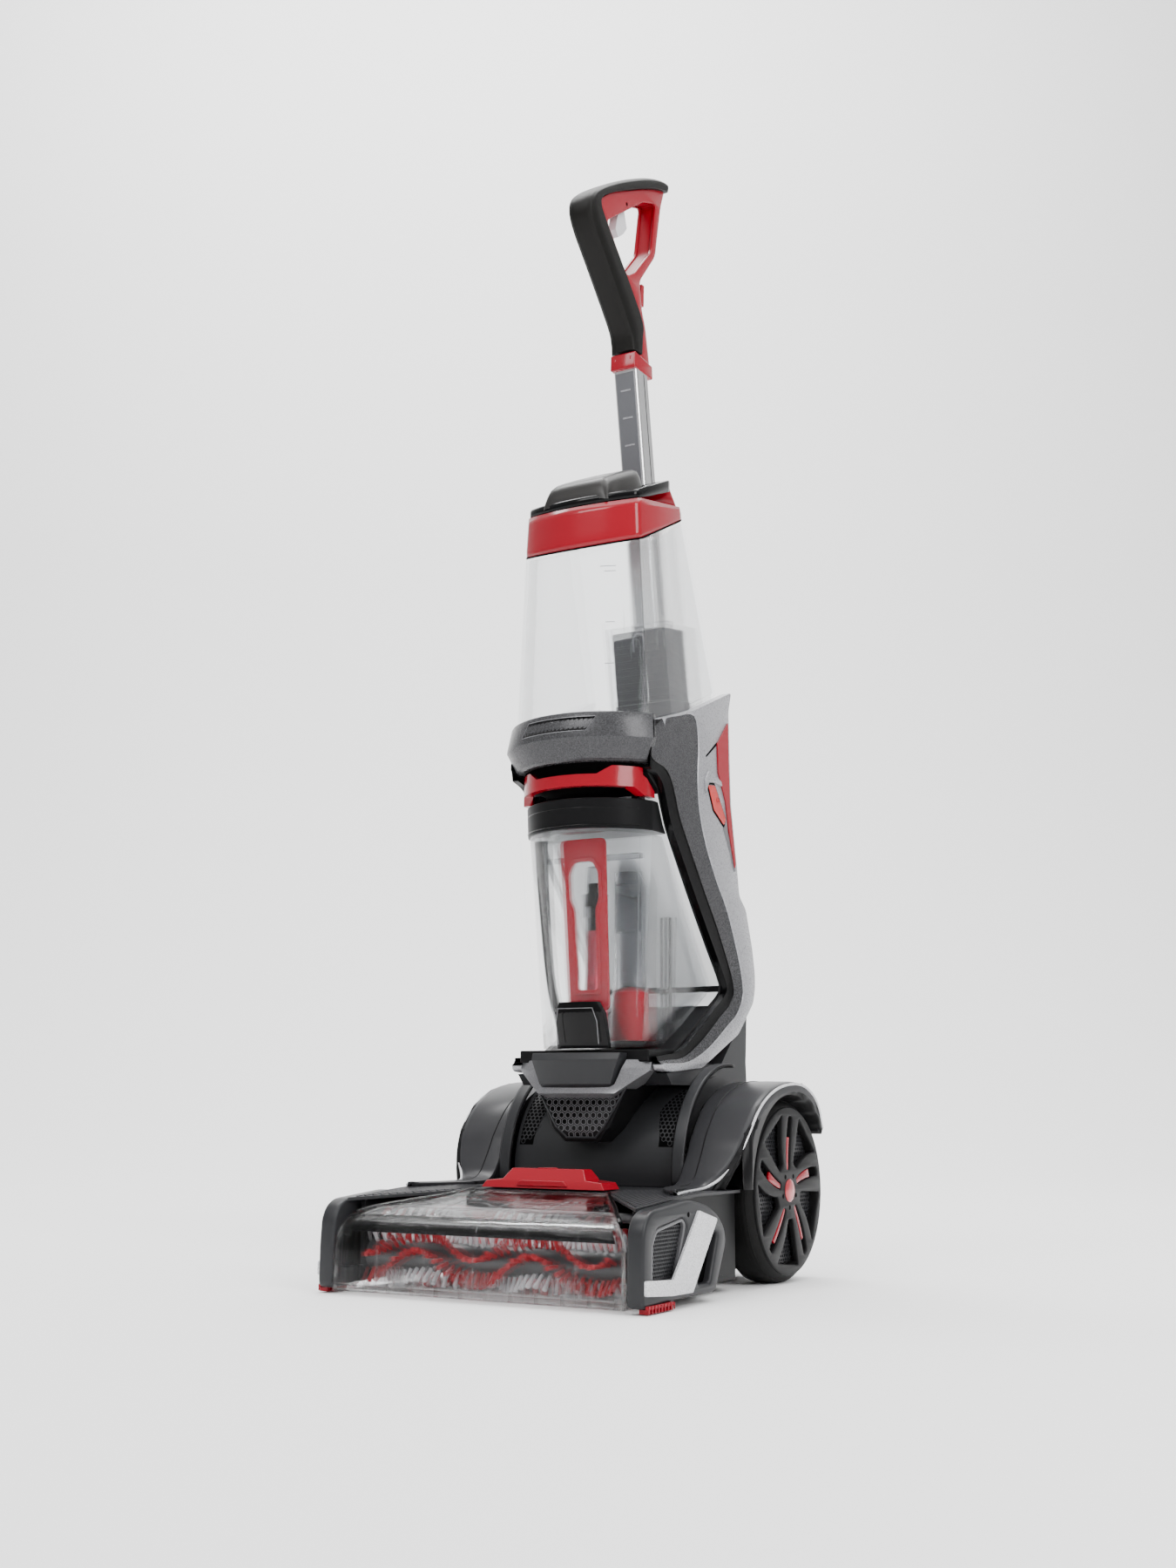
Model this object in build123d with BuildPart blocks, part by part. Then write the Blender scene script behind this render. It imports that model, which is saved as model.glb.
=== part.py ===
"""Upright carpet cleaner: a two-brush foot on two wheels, a reclining body, two tanks and a handle.

+Z is up, the front faces -Y, and +X is the user's left when standing behind it.
Side outlines are lists of (y, z), front outlines (x, z) and plan outlines (x, y), in millimetres.
"""

import os
from math import cos, hypot, radians, sin, sqrt

from build123d import *

os.makedirs("parts", exist_ok=True)

# Foot
FRONT = -190.0
CAP_INNER, CAP_OUTER = 141.0, 156.5
WINDOW_HALF = 140.0
WALL = 3.0
FLOOR_LOW, FLOOR_TOP = 10.0, 13.0
WALL_INNER, WALL_OUTER = 131.0, 135.0
DECK_HALF = 140.5

# Wheels
AXLE = (108.0, 82.0)
WHEEL_R, RIM_R, HUB_R = 82.0, 66.0, 8.05
WHEEL_IN, WHEEL_OUT = 110.0, 148.0
SPOKES = 5

# Recline hinge of the upright body
HINGE = (95.0, 98.0)
DRUM_R, DRUM_HALF = 86.3, 83.5
BARREL_IN, BARREL_OUT, BARREL_HALF = 87.0, 90.0, 84.0
TRUNNION_R, TRUNNION_BORE = 9.94, 10.0
EAR_IN, EAR_OUT = 87.0, 95.0

# Brush rolls
BRUSH_R, CORE_R, PIN_R, PIN_BORE = 26.5, 12.5, 3.95, 4.0
BRUSH_FRONT, BRUSH_REAR = (-150.0, 31.0), (-92.0, 31.0)
MOTOR = (-30.0, 38.0)

# Body
BODY_IN, BODY_OUT = 68.0, 80.0
SPINE_HALF = 67.8
LEAN = 0.162
TUBE_HALF, TUBE_WALL = 13.5, 1.6
TUBE_TOP, TUBE_FOOT = 905.0, 545.0
GRIP_HALF, CORE_HALF = 15.0, 11.0


def tube_y(z):
    """Y of the tube's centre line, which leans forward as it rises."""
    return 92.5 + LEAN * (790.0 - z)


LEAN_LEN = hypot(1.0, LEAN)
TUBE_PLANE = Plane(
    origin=(0, tube_y(TUBE_FOOT), TUBE_FOOT), x_dir=(1, 0, 0), z_dir=(0, -LEAN / LEAN_LEN, 1 / LEAN_LEN)
)
TUBE_LENGTH = (TUBE_TOP - TUBE_FOOT) * LEAN_LEN


def outline(points, plane):
    """A closed face with straight sides on a plane."""
    with BuildSketch(plane, mode=Mode.PRIVATE) as face:
        with BuildLine():
            Polyline(*points, close=True)
        make_face()
    return face.sketch


def side(points, left, right, mode=Mode.ADD):
    """Extrude a side outline from x = left to x = right."""
    return extrude(outline(points, Plane.YZ.offset(left)), amount=right - left, mode=mode)


def front(points, near, far, mode=Mode.ADD):
    """Extrude a front outline from y = near to y = far."""
    return extrude(outline(points, Plane.XZ.offset(-near)), amount=near - far, mode=mode)


def plan(points, low, high, mode=Mode.ADD):
    """Extrude a plan outline from z = low to z = high."""
    return extrude(outline(points, Plane.XY.offset(low)), amount=high - low, mode=mode)


def slab(x, y, z, mode=Mode.ADD):
    """A block between two x, two y and two z values."""
    return plan([(x[0], y[0]), (x[1], y[0]), (x[1], y[1]), (x[0], y[1])], z[0], z[1], mode)


def disc(centre, radius, left, right, mode=Mode.ADD):
    """A cylinder along X, centred on (y, z)."""
    with BuildSketch(Plane.YZ.offset(left), mode=Mode.PRIVATE) as face:
        with Locations(centre):
            Circle(radius)
    return extrude(face.sketch, amount=right - left, mode=mode)


def turned(profile, centre, mode=Mode.ADD):
    """Revolve an (x, radius) profile about an X axis through (y, z)."""
    plane = Plane(origin=(0, centre[0], centre[1]), x_dir=(1, 0, 0), z_dir=(0, 0, 1))
    axis = Axis((0, centre[0], centre[1]), (1, 0, 0))
    return revolve(outline(profile, plane), axis=axis, mode=mode)


def around(centre, radius, degrees_up):
    """The (y, z) point at an angle above the forward direction."""
    angle = radians(degrees_up)
    return (centre[0] - radius * cos(angle), centre[1] + radius * sin(angle))


def shell_arc(centre, inner, outer, start, end, left, right, mode=Mode.ADD):
    """A curved wall about an X axis, between two angles above the forward direction."""
    wedge = [centre] + [around(centre, outer * 1.6, start + (end - start) * i / 4) for i in range(5)]
    with BuildSketch(Plane.YZ.offset(left), mode=Mode.PRIVATE) as face:
        with Locations(centre):
            Circle(outer)
            Circle(inner, mode=Mode.SUBTRACT)
        with BuildLine():
            Polyline(*wedge, close=True)
        make_face(mode=Mode.INTERSECT)
    return extrude(face.sketch, amount=right - left, mode=mode)


def inset(points, distance):
    """Move every side of a closed outline inwards by a distance."""
    area = sum(a[0] * b[1] - b[0] * a[1] for a, b in zip(points, points[1:] + points[:1]))
    turn = 1.0 if area > 0 else -1.0
    moved = []
    for i, here in enumerate(points):
        before, after = points[i - 1], points[(i + 1) % len(points)]
        d1 = (here[0] - before[0], here[1] - before[1])
        d2 = (after[0] - here[0], after[1] - here[1])
        l1, l2 = hypot(*d1), hypot(*d2)
        n1 = (-turn * d1[1] / l1, turn * d1[0] / l1)
        n2 = (-turn * d2[1] / l2, turn * d2[0] / l2)
        scale = distance / max(0.25, 1 + n1[0] * n2[0] + n1[1] * n2[1])
        moved.append((here[0] + (n1[0] + n2[0]) * scale, here[1] + (n1[1] + n2[1]) * scale))
    return moved


def bow_sections(levels):
    """Plan sections with a bowed front; a level is (z, half width, nose y, side y, rear y)."""
    sections = []
    for z, half, nose, flank, rear in levels:
        with BuildSketch(Plane.XY.offset(z), mode=Mode.PRIVATE) as section:
            with BuildLine():
                ThreePointArc((-half, flank), (0, nose), (half, flank))
                Polyline((half, flank), (half, rear), (-half, rear), (-half, flank))
            make_face()
        sections.append(section.sketch.face())
    return sections


def bow(levels, mode=Mode.ADD):
    """A block with a bowed front, lofted through its plan sections."""
    return loft(sections=bow_sections(levels), ruled=True, mode=mode)


def mirrored(source):
    """The same piece on the other side of the machine."""
    with BuildPart() as copy:
        add(mirror(source.part, about=Plane.YZ, mode=Mode.PRIVATE))
    return copy


def both_sides(source):
    """A piece and its mirror image as one group of separate solids."""
    with BuildPart() as pair:
        add(source.part)
        add(mirror(source.part, about=Plane.YZ, mode=Mode.PRIVATE))
    return pair


def along_tube(half, depth_front, depth_back, start, length, mode=Mode.ADD):
    """A block that follows the tube's lean; depths are measured from its centre line."""
    plane = Plane(origin=TUBE_PLANE.origin + TUBE_PLANE.z_dir * start, x_dir=(1, 0, 0), z_dir=TUBE_PLANE.z_dir)
    corners = [(-half, -depth_front), (half, -depth_front), (half, depth_back), (-half, depth_back)]
    return extrude(outline(corners, plane), amount=length, mode=mode)


def from_tube_foot(z):
    """Distance along the tube from its foot to a height."""
    return (z - TUBE_FOOT) * LEAN_LEN


# ---------------------------------------------------------------- foot
EAR = [(30, 10), (30, 70), (58, 116), (84, 124), (118, 118), (140, 96), (150, 40), (150, 10)]
WALL_SIDE = [(-160, 10), (-160, 76.4), (-107, 80.5), (-60, 83), (20, 83), (20, 10)]

with BuildPart() as foot_chassis:
    for left in (-WALL_OUTER, WALL_INNER):
        side(WALL_SIDE, left, left + WALL_OUTER - WALL_INNER)
    slab((-WALL_INNER, WALL_INNER), (-60, -56), (FLOOR_LOW, 66))
    floor = [(WALL_INNER, -56), (WALL_INNER, 20), (EAR_OUT, 24), (EAR_OUT, 150)]
    plan(floor + [(-x, y) for x, y in reversed(floor)], FLOOR_LOW, FLOOR_TOP)
    for left in (-EAR_OUT, EAR_IN):
        side(EAR, left, left + EAR_OUT - EAR_IN)
    slab((-120, 120), (-52, -40), (0, FLOOR_LOW))
    disc(HINGE, TRUNNION_BORE, -EAR_OUT, EAR_OUT, Mode.SUBTRACT)
    for left in (-EAR_OUT, EAR_IN):
        disc(AXLE, 8.0, left, left + EAR_OUT - EAR_IN, Mode.SUBTRACT)
    for centre in (BRUSH_FRONT, BRUSH_REAR):
        disc(centre, PIN_BORE, -WALL_OUTER, WALL_OUTER, Mode.SUBTRACT)
    disc(MOTOR, 6.0, -WALL_OUTER, -WALL_INNER, Mode.SUBTRACT)
    slab((36, 89), (-60, -56), (20, 54), Mode.SUBTRACT)

DECK_SIDE = [(-173, 75.4), (-107, 80.5), (-60, 83), (20, 83), (20, 86), (-60, 86), (-107, 83.5), (-173, 78.4)]
WINDOW_GAP = [(-141.5, -174), (141.5, -174), (66, -85.5), (-66, -85.5)]

with BuildPart() as foot_deck:
    side(DECK_SIDE, -DECK_HALF, DECK_HALF)
    plan(WINDOW_GAP, 60, 100, Mode.SUBTRACT)
    disc(HINGE, BARREL_OUT + 0.5, -84.5, 84.5, Mode.SUBTRACT)
    for left in (-96.5, 84.5):
        disc(HINGE, 98.6, left, left + 12, Mode.SUBTRACT)

with BuildPart() as barrel_shell:
    shell_arc(HINGE, BARREL_IN, BARREL_OUT, -9, 58, -BARREL_HALF, BARREL_HALF)
    fillet(barrel_shell.edges().filter_by(Axis.X).group_by(Axis.Z)[-1], 1.0)

CAP_SIDE = [
    (-190, 4), (-188, 60), (-184, 70), (-175, 77), (-107, 83), (-78, 78), (-58, 70), (-45, 58),
    (-42, 46), (-62, 9), (-68, 7.4), (-141, 7),
]
GRILLE = [(-168, 28), (-166, 58), (-128, 64), (-136, 28)]
SLOT = [(-96, 16), (-70, 58), (-56, 54), (-72, 16)]

with BuildPart() as side_cap_right:
    side(CAP_SIDE, CAP_INNER, CAP_OUTER)
    side(inset(CAP_SIDE, WALL), CAP_INNER, CAP_OUTER - WALL, Mode.SUBTRACT)
    side(GRILLE, CAP_OUTER - WALL, CAP_OUTER, Mode.SUBTRACT)
    side(SLOT, CAP_OUTER - WALL, CAP_OUTER, Mode.SUBTRACT)
with BuildPart() as side_cap_left:
    add(mirror(side_cap_right.part, about=Plane.YZ, mode=Mode.PRIVATE))
    slab((-CAP_OUTER + WALL, -CAP_INNER), (-70, -40), (20, 60), Mode.SUBTRACT)

with BuildPart() as cap_grille_right:
    side(inset(GRILLE, 0.3), CAP_OUTER - 2.4, CAP_OUTER - 0.8)
    with BuildSketch(Plane.YZ.offset(CAP_OUTER - 2.4)):
        with Locations((-149.5, 45)):
            with HexLocations(3.2, 7, 6):
                RegularPolygon(2.4, 6)
    extrude(amount=2, mode=Mode.SUBTRACT)
cap_grilles = both_sides(cap_grille_right)

TRIM_SIDE = [
    (-97, 74), (-63, 66), (-109, 11), (-145, 11.4), (-188, 14.5), (-188, 26), (-143, 23.4),
]
with BuildPart() as side_trim_right:
    side(TRIM_SIDE, CAP_OUTER, CAP_OUTER + 2)
    fillet(side_trim_right.edges().filter_by(Axis.X), 1.5)
side_trims = both_sides(side_trim_right)

with BuildPart() as edge_brush_right:
    slab((149, 158.5), (-186, -142), (4.5, 7))
    for i in range(8):
        slab((150, 158), (-184.5 + 5.3 * i, -180.5 + 5.3 * i), (1, 4.5))
    side(inset(CAP_SIDE, 0.0), CAP_INNER, CAP_OUTER, Mode.SUBTRACT)
edge_brushes = both_sides(edge_brush_right)

ARCH = [
    (-14, 86), (-2, 108), (14, 134), (36, 157), (66, 172), (100, 179), (134, 179), (160, 170),
    (176, 156), (184, 138),
]
ARCH_FOOT = ARCH + [(150, 100), (108, 82), (40, 86)]
with BuildPart() as arch_hollow:
    side(inset(ARCH, WALL)[1:-1] + [(172, 130), (108, 60), (-6, 60), (-8, 88)], 99.2, 149)
    disc(AXLE, 89.5, 103.2, 149, Mode.SUBTRACT)

with BuildPart() as arch_right:
    side(ARCH_FOOT, 96.2, 152)
    with BuildSketch(Plane.XY.offset(80)):
        with BuildLine():
            Line((90, -20), (112, -20))
            ThreePointArc((112, -20), (140, -8), (152, 22))
            Polyline((152, 22), (152, 190), (90, 190), (90, -20))
        make_face()
    extrude(amount=110, mode=Mode.INTERSECT)
    disc(AXLE, 86.5, 103.2, 153, Mode.SUBTRACT)
    add(arch_hollow.part, mode=Mode.SUBTRACT)
    plan([(97, -12), (120, -12), (120, -34), (136, -92), (108, -60), (97, -40)], 86, 89)
    disc(AXLE, 10, 90, 112, Mode.SUBTRACT)
    shell_arc(HINGE, 95.4, 98.4, -7, 96, 84.5, 96.2)
arch_left = mirrored(arch_right)

with BuildPart() as wheel_axles:
    disc(AXLE, 8.0, EAR_IN, 139.5)
    disc(AXLE, 8.0, -139.5, -EAR_IN)

with BuildPart() as brush_motor:
    disc(MOTOR, 22, -110, -30)
    disc(MOTOR, PIN_BORE, -110, -70, Mode.SUBTRACT)
    slab((-100, -40), (-44, -16), (FLOOR_TOP, 20))

with BuildPart() as suction_duct:
    slab((33, 92), (-56, 8), (FLOOR_TOP, 57))
    slab((36, 89), (-56, 8), (20, 54), Mode.SUBTRACT)
    disc(HINGE, BARREL_OUT + 1, -84.5, 84.5, Mode.SUBTRACT)
    disc(HINGE, 99.0, 84.5, 97, Mode.SUBTRACT)

PULLEY_X = (-147.0, -140.5)


def belt_loop(gap):
    """The belt's path round the rear brush's pulley and the motor's pulley, at a gap from both."""
    rear = [around(BRUSH_REAR, 12.0 + gap, 90 - 15 * i) for i in range(13)]
    motor = [around(MOTOR, 8.0 + gap, 270 - 15 * i) for i in range(13)]
    return rear + motor


with BuildPart() as drive_belt:
    side(belt_loop(2.3), PULLEY_X[0] + 0.5, PULLEY_X[1] - 0.5)
    side(belt_loop(0.4), PULLEY_X[0] - 1, PULLEY_X[1] + 1, Mode.SUBTRACT)

with BuildPart() as belt_cover:
    slab((-152.5, -WALL_OUTER), (-40, -14), (20, 58))
    slab((-150, -WALL_OUTER), (-41, -17), (23, 55), Mode.SUBTRACT)

with BuildPart() as spray_bar:
    disc((-118, 67), 4, -WALL_INNER, WALL_INNER)
    for x in (-84, 0, 84):
        with Locations((x, -118, 61.5)):
            Cone(2.2, 4.2, 5)
        slab((x - 4, x + 4), (-122, -114), (63, 66))

with BuildPart() as foot_screws:
    for x, y in ((-110, -30), (110, -30), (-60, 5), (60, 5), (-80, 120), (80, 120)):
        with Locations((x, y, FLOOR_LOW - 0.9)):
            Cylinder(4, 1.8)

# ---------------------------------------------------------------- wheels
with BuildPart() as tyre_right:
    turned(
        [(112, 66), (110.5, 70), (111, 75), (114, 79.5), (120, 82), (137, 82), (143, 79.6), (146.5, 75.5),
         (148, 71), (147, 66)],
        AXLE,
    )
tyre_left = mirrored(tyre_right)


def spoke_plane(x, degrees_up):
    """A plane on the wheel face whose local x runs outwards along a spoke."""
    angle = radians(degrees_up)
    return Plane(origin=(x, AXLE[0], AXLE[1]), x_dir=(0, cos(angle), sin(angle)), z_dir=(1, 0, 0))


with BuildPart() as wheel_disc_right:
    turned(
        [(114, 66), (146, 66), (144.5, 61), (142, 58), (142, 18), (140, 15), (140, HUB_R), (112, HUB_R),
         (112, 14), (134, 18), (134, 57.8), (130, 61), (114, 61)],
        AXLE,
    )
    for i in range(SPOKES):
        narrow = [(22, -4.5), (58, -7), (58, 7), (22, 4.5)]
        extrude(outline(narrow, spoke_plane(129, 18 + 72 * i)), amount=18, mode=Mode.SUBTRACT)
        wide = [(27, -5), (34, -11), (55, -19), (58.5, -13), (60, 0), (58.5, 13), (55, 19), (34, 11), (27, 5)]
        extrude(outline(wide, spoke_plane(129, 54 + 72 * i)), amount=18, mode=Mode.SUBTRACT)
wheel_disc_left = mirrored(wheel_disc_right)

with BuildPart() as spoke_insert_right:
    turned([(142.1, 0), (142.1, 13), (144, 12.4), (145.4, 9), (145.4, 0)], AXLE)
    for i in range(SPOKES):
        arm = [(8, -4), (24, -4.4), (47, -1.6), (46, 4.4), (24, 2.6), (8, 4)]
        extrude(outline(arm, spoke_plane(142.1, 18 + 72 * i)), amount=2.2)
spoke_insert_left = mirrored(spoke_insert_right)


# ---------------------------------------------------------------- brush rolls
def bristle_rows(centre):
    """Eight bristle rows that stand on a brush core."""
    with BuildPart() as rows:
        for i in range(8):
            angle = radians(45 * i)
            plane = Plane(
                origin=(-125, centre[0], centre[1]), x_dir=(0, cos(angle), sin(angle)), z_dir=(1, 0, 0)
            )
            extrude(outline([(11, -3), (BRUSH_R, -2), (BRUSH_R, 2), (11, 3)], plane), amount=250)
        disc(centre, CORE_R, -126, 126, Mode.SUBTRACT)
    return rows


with BuildPart() as brush_core_front:
    disc(BRUSH_FRONT, CORE_R, -127, 127)
    disc(BRUSH_FRONT, PIN_R, -134.8, 134.8)
bristles_front = bristle_rows(BRUSH_FRONT)

with BuildPart() as brush_core_rear:
    disc(BRUSH_REAR, CORE_R, -127, 127)
    disc(BRUSH_REAR, PIN_R, -148.5, 134.8)
    disc(BRUSH_REAR, 12.0, *PULLEY_X)
bristles_rear = bristle_rows(BRUSH_REAR)

with BuildPart() as motor_pulley:
    disc(MOTOR, PIN_R, -148.5, -75)
    disc(MOTOR, 8.0, *PULLEY_X)

# ---------------------------------------------------------------- window and latch
WINDOW_OUT = [(-190, 3), (-189, 42), (-185, 58), (-176, 67), (-158, 72), (-86, 85)]
WINDOW_SIDE = WINDOW_OUT + [(-85.5, 82.4), (-157, 69.4), (-174, 64.5), (-182.6, 56.6), (-186.4, 42), (-187.4, 3)]
with BuildPart() as nozzle_window:
    side(WINDOW_SIDE, -WINDOW_HALF, WINDOW_HALF)
    slab((-138, 138), (-187.6, -179), (3, 7))
    for x in (-90, -30, 30, 90):
        side([(-187.3, 6), (-186.4, 42), (-182.6, 56.6), (-178.8, 56), (-183, 42), (-184, 6)], x - 1, x + 1)
    plan([(-141, -191), (141, -191), (141, -174.5), (65.5, -86), (-65.5, -86), (-141, -174.5)], 0, 100,
         Mode.INTERSECT)

with BuildPart() as nozzle_latch:
    front([(-62, 86.5), (-58, 92.5), (-42, 94), (-36, 103), (36, 103), (42, 94), (58, 92.5), (62, 86.5)], -84, -56)
    side([(-84, 86.5), (-82, 92), (-74, 103), (-60, 103), (-56, 96), (-56, 86.5)], -62, 62, Mode.INTERSECT)

# ---------------------------------------------------------------- upright: lower housing
with BuildPart() as drum_shape:
    disc(HINGE, DRUM_R, -DRUM_HALF, DRUM_HALF)
    slab((-90, 90), (0, 200), (0, 84), Mode.SUBTRACT)
with BuildPart() as drum_hollow:
    disc(HINGE, DRUM_R - WALL, -DRUM_HALF + WALL, DRUM_HALF - WALL)
    slab((-90, 90), (0, 200), (0, 87), Mode.SUBTRACT)

FRAME_OUT = [(-22, 466), (-4, 512), (60, 532), (141, 566), (134, 545), (136, 490), (138, 450), (143, 425),
             (151, 387), (155, 362), (170, 350), (184, 313), (190, 288), (190, 273), (185, 258), (150, 226),
             (70, 192), (0, 186), (-16, 178), (-24, 168)]
FRAME_IN = [(-27, 198), (37, 207.5), (73, 226.5), (130.5, 263), (134, 275), (74, 346), (20, 413), (5, 445),
            (-16, 458)]
NECK = [(10, 176), (-2, 188), (-8, 196), (112, 196), (150, 232), (171.5, 249.5), (168, 200), (174, 120),
        (95, 120), (60, 176)]
with BuildPart() as lower_housing:
    add(drum_shape.part)
    side(NECK, -DRUM_HALF + 5, DRUM_HALF - 5)
    add(drum_hollow.part, mode=Mode.SUBTRACT)
    side(inset(NECK, WALL), -DRUM_HALF + 8, DRUM_HALF - 8, Mode.SUBTRACT)
    for left in (-EAR_OUT + 0.5, DRUM_HALF - WALL):
        disc(HINGE, TRUNNION_R, left, left + EAR_OUT - 0.5 - DRUM_HALF + WALL)
    for left in (-90, 67.9):
        side(FRAME_OUT + FRAME_IN, left, left + 22.1, Mode.SUBTRACT)
    slab((-40, 40), (100, 140), (180, 250), Mode.SUBTRACT)

V_FRONT = [(-52, 186), (-30, 138), (-18, 125), (18, 125), (30, 138), (52, 186)]
with BuildPart() as vent_cover:
    side([(-14, 124), (-18, 136), (-16, 178), (8, 178), (60, 175.9), (60, 124)], -52, 52)
    front(V_FRONT, -20, 70, Mode.INTERSECT)
    disc(HINGE, BARREL_OUT + 0.7, -60, 60, Mode.SUBTRACT)
    add(lower_housing.part, mode=Mode.SUBTRACT)

with BuildPart() as lower_front_trim:
    bow([(171, 29, -28, -24, 4), (176, 37, -34, -29, 4), (198, 45, -38, -30, 4), (204, 46, -34, -27, 4)])
    side(NECK, -90, 90, Mode.SUBTRACT)
    slab((-90, 90), (-14, 60), (195.9, 210), Mode.SUBTRACT)
    add(vent_cover.part, mode=Mode.SUBTRACT)

# ---------------------------------------------------------------- upright: spine and frames
SPINE = [(-14, 207), (37, 208.5), (73, 228), (131, 264), (134, 275), (74, 346), (20, 413), (5, 446), (-14, 458),
         (-10, 500), (131, 541), (134, 490), (136, 450), (142, 425), (150, 387), (153, 363), (167, 351),
         (181, 314), (188, 288), (189, 274), (184, 260), (171.5, 249.5), (150, 232), (112, 196), (-14, 196)]
with BuildPart() as body_spine:
    side(SPINE, -SPINE_HALF, SPINE_HALF)
    side(inset(SPINE, WALL), -SPINE_HALF + WALL, SPINE_HALF - WALL, Mode.SUBTRACT)
    slab((-40, 40), (100, 140), (190, 250), Mode.SUBTRACT)
    along_tube(33, 30, 30, -40, 60, Mode.SUBTRACT)

BEVEL_OUT = [(-13, 484), (0, 508), (60, 528), (134, 557), (131, 545), (133, 490), (135, 450), (140, 425),
             (148, 387), (152, 360), (167, 348), (181, 313), (187, 288), (187, 274), (182, 260), (148, 229),
             (70, 196), (4, 190)]
BEVEL_IN = [(0, 202), (60, 211), (143, 259), (152, 268), (119, 316), (64, 369), (33, 438), (14, 456)]
BUTTON = [(85, 462), (98, 464), (122, 434), (119, 428), (97, 440)]
with BuildPart() as frame_plain:
    side(FRAME_OUT + FRAME_IN, BODY_IN, BODY_OUT - 5)
    side(BEVEL_OUT + BEVEL_IN, BODY_OUT - 5, BODY_OUT)
with BuildPart() as frame_right:
    add(frame_plain.part)
    side(inset(BUTTON, -0.5), BODY_OUT - 8, BODY_OUT + 1, Mode.SUBTRACT)
frame_left = mirrored(frame_plain)

with BuildPart() as power_button:
    side(BUTTON, BODY_OUT - 5, BODY_OUT + 2)
    chamfer(power_button.faces().sort_by(Axis.X)[-1].edges(), 1.2)

ACCENT = [(104, 506), (129, 532), (130, 490), (132, 450), (137, 425), (144, 392), (142, 388), (130, 420),
          (122, 452), (106, 478)]
with BuildPart() as accent_right:
    side(ACCENT, BODY_OUT, BODY_OUT + 1.6)
accents = both_sides(accent_right)

with BuildPart() as chin_band:
    bow([(164, 33, -26, -22, 0), (168, 40, -32, -27, 0), (190, 70, -30, -10, 20), (198, 76, -28, -2, 20)])
    bow([(163, 28, -20, -18, 4), (171.5, 31, -27, -23, 4), (176, 39, -40, -31, 24), (199, 48, -44, -32, 24)],
        Mode.SUBTRACT)
    add(lower_front_trim.part, mode=Mode.SUBTRACT)
    add(vent_cover.part, mode=Mode.SUBTRACT)
    side(NECK, -90, 90, Mode.SUBTRACT)
    side(FRAME_OUT + FRAME_IN, BODY_IN, 90, Mode.SUBTRACT)
    side(FRAME_OUT + FRAME_IN, -90, -BODY_IN, Mode.SUBTRACT)
    slab((-90, 90), (-60, 60), (198, 210), Mode.SUBTRACT)
    side(SPINE, -90, 90, Mode.SUBTRACT)

with BuildPart() as front_collar:
    bow([(468, 70, -57, -22, 10), (492, 79.5, -67, -26, 10), (507, 78, -64, -23, 10), (512, 76, -59, -21, 10)])
    bow([(460, 62, -49, -14, 20), (505.5, 63, -49, -11, 20)], Mode.SUBTRACT)
    bow([(505.5, 73.4, -50.6, -21.6, 20), (520, 73, -50.6, -21.6, 20)], Mode.SUBTRACT)
    side(FRAME_OUT + FRAME_IN, BODY_IN, 90, Mode.SUBTRACT)
    side(FRAME_OUT + FRAME_IN, -90, -BODY_IN, Mode.SUBTRACT)
    side(SPINE, -SPINE_HALF, SPINE_HALF, Mode.SUBTRACT)

with BuildPart() as tank_deck:
    bow([(490, 61, -48, -9, 8), (505, 61.4, -48, -8, 8)])
    side(SPINE, -90, 90, Mode.SUBTRACT)
    side([(-10, 500.2), (120, 539), (120, 543), (-10, 504)], -66, 66)
    add(front_collar.part, mode=Mode.SUBTRACT)
    along_tube(33, 30, 30, -60, 60, Mode.SUBTRACT)

with BuildPart() as tube_socket:
    along_tube(30, 27, 15, from_tube_foot(560), 74)
    along_tube(31.5, 28.5, 15, -30, from_tube_foot(560) + 30)
    side(SPINE, -90, 90, Mode.SUBTRACT)
    add(tank_deck.part, mode=Mode.SUBTRACT)
    along_tube(TUBE_HALF, TUBE_HALF, TUBE_HALF, -5, 200, Mode.SUBTRACT)
    slab((-90, 90), (0, 200), (480, 520), Mode.SUBTRACT)

with BuildPart() as handle_tube:
    with BuildSketch(TUBE_PLANE):
        RectangleRounded(2 * TUBE_HALF, 2 * TUBE_HALF, 4)
        RectangleRounded(2 * (TUBE_HALF - TUBE_WALL), 2 * (TUBE_HALF - TUBE_WALL), 3, mode=Mode.SUBTRACT)
    extrude(amount=TUBE_LENGTH)

with BuildPart() as cable_rail:
    along_tube(6, -TUBE_HALF, TUBE_HALF + 5, from_tube_foot(650), (888 - 650) * LEAN_LEN)
    along_tube(3.5, -TUBE_HALF - 1.8, TUBE_HALF + 6, from_tube_foot(650), (888 - 650) * LEAN_LEN, Mode.SUBTRACT)

# ---------------------------------------------------------------- upright: handle
LINING = [(73, 916), (75, 950), (70, 961), (30, 997), (-9, 1036), (-13, 1048), (14, 1070), (80, 1106),
          (108, 1120), (131, 1129)]
GRIP_OUT = [(137, 1139), (126, 1138), (85, 1121), (14, 1080), (-27, 1049), (-33, 1031), (-26, 1015), (15, 972),
            (47, 938), (56, 916)]
with BuildPart() as handle_grip:
    side(LINING + GRIP_OUT, -GRIP_HALF, GRIP_HALF)

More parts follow.
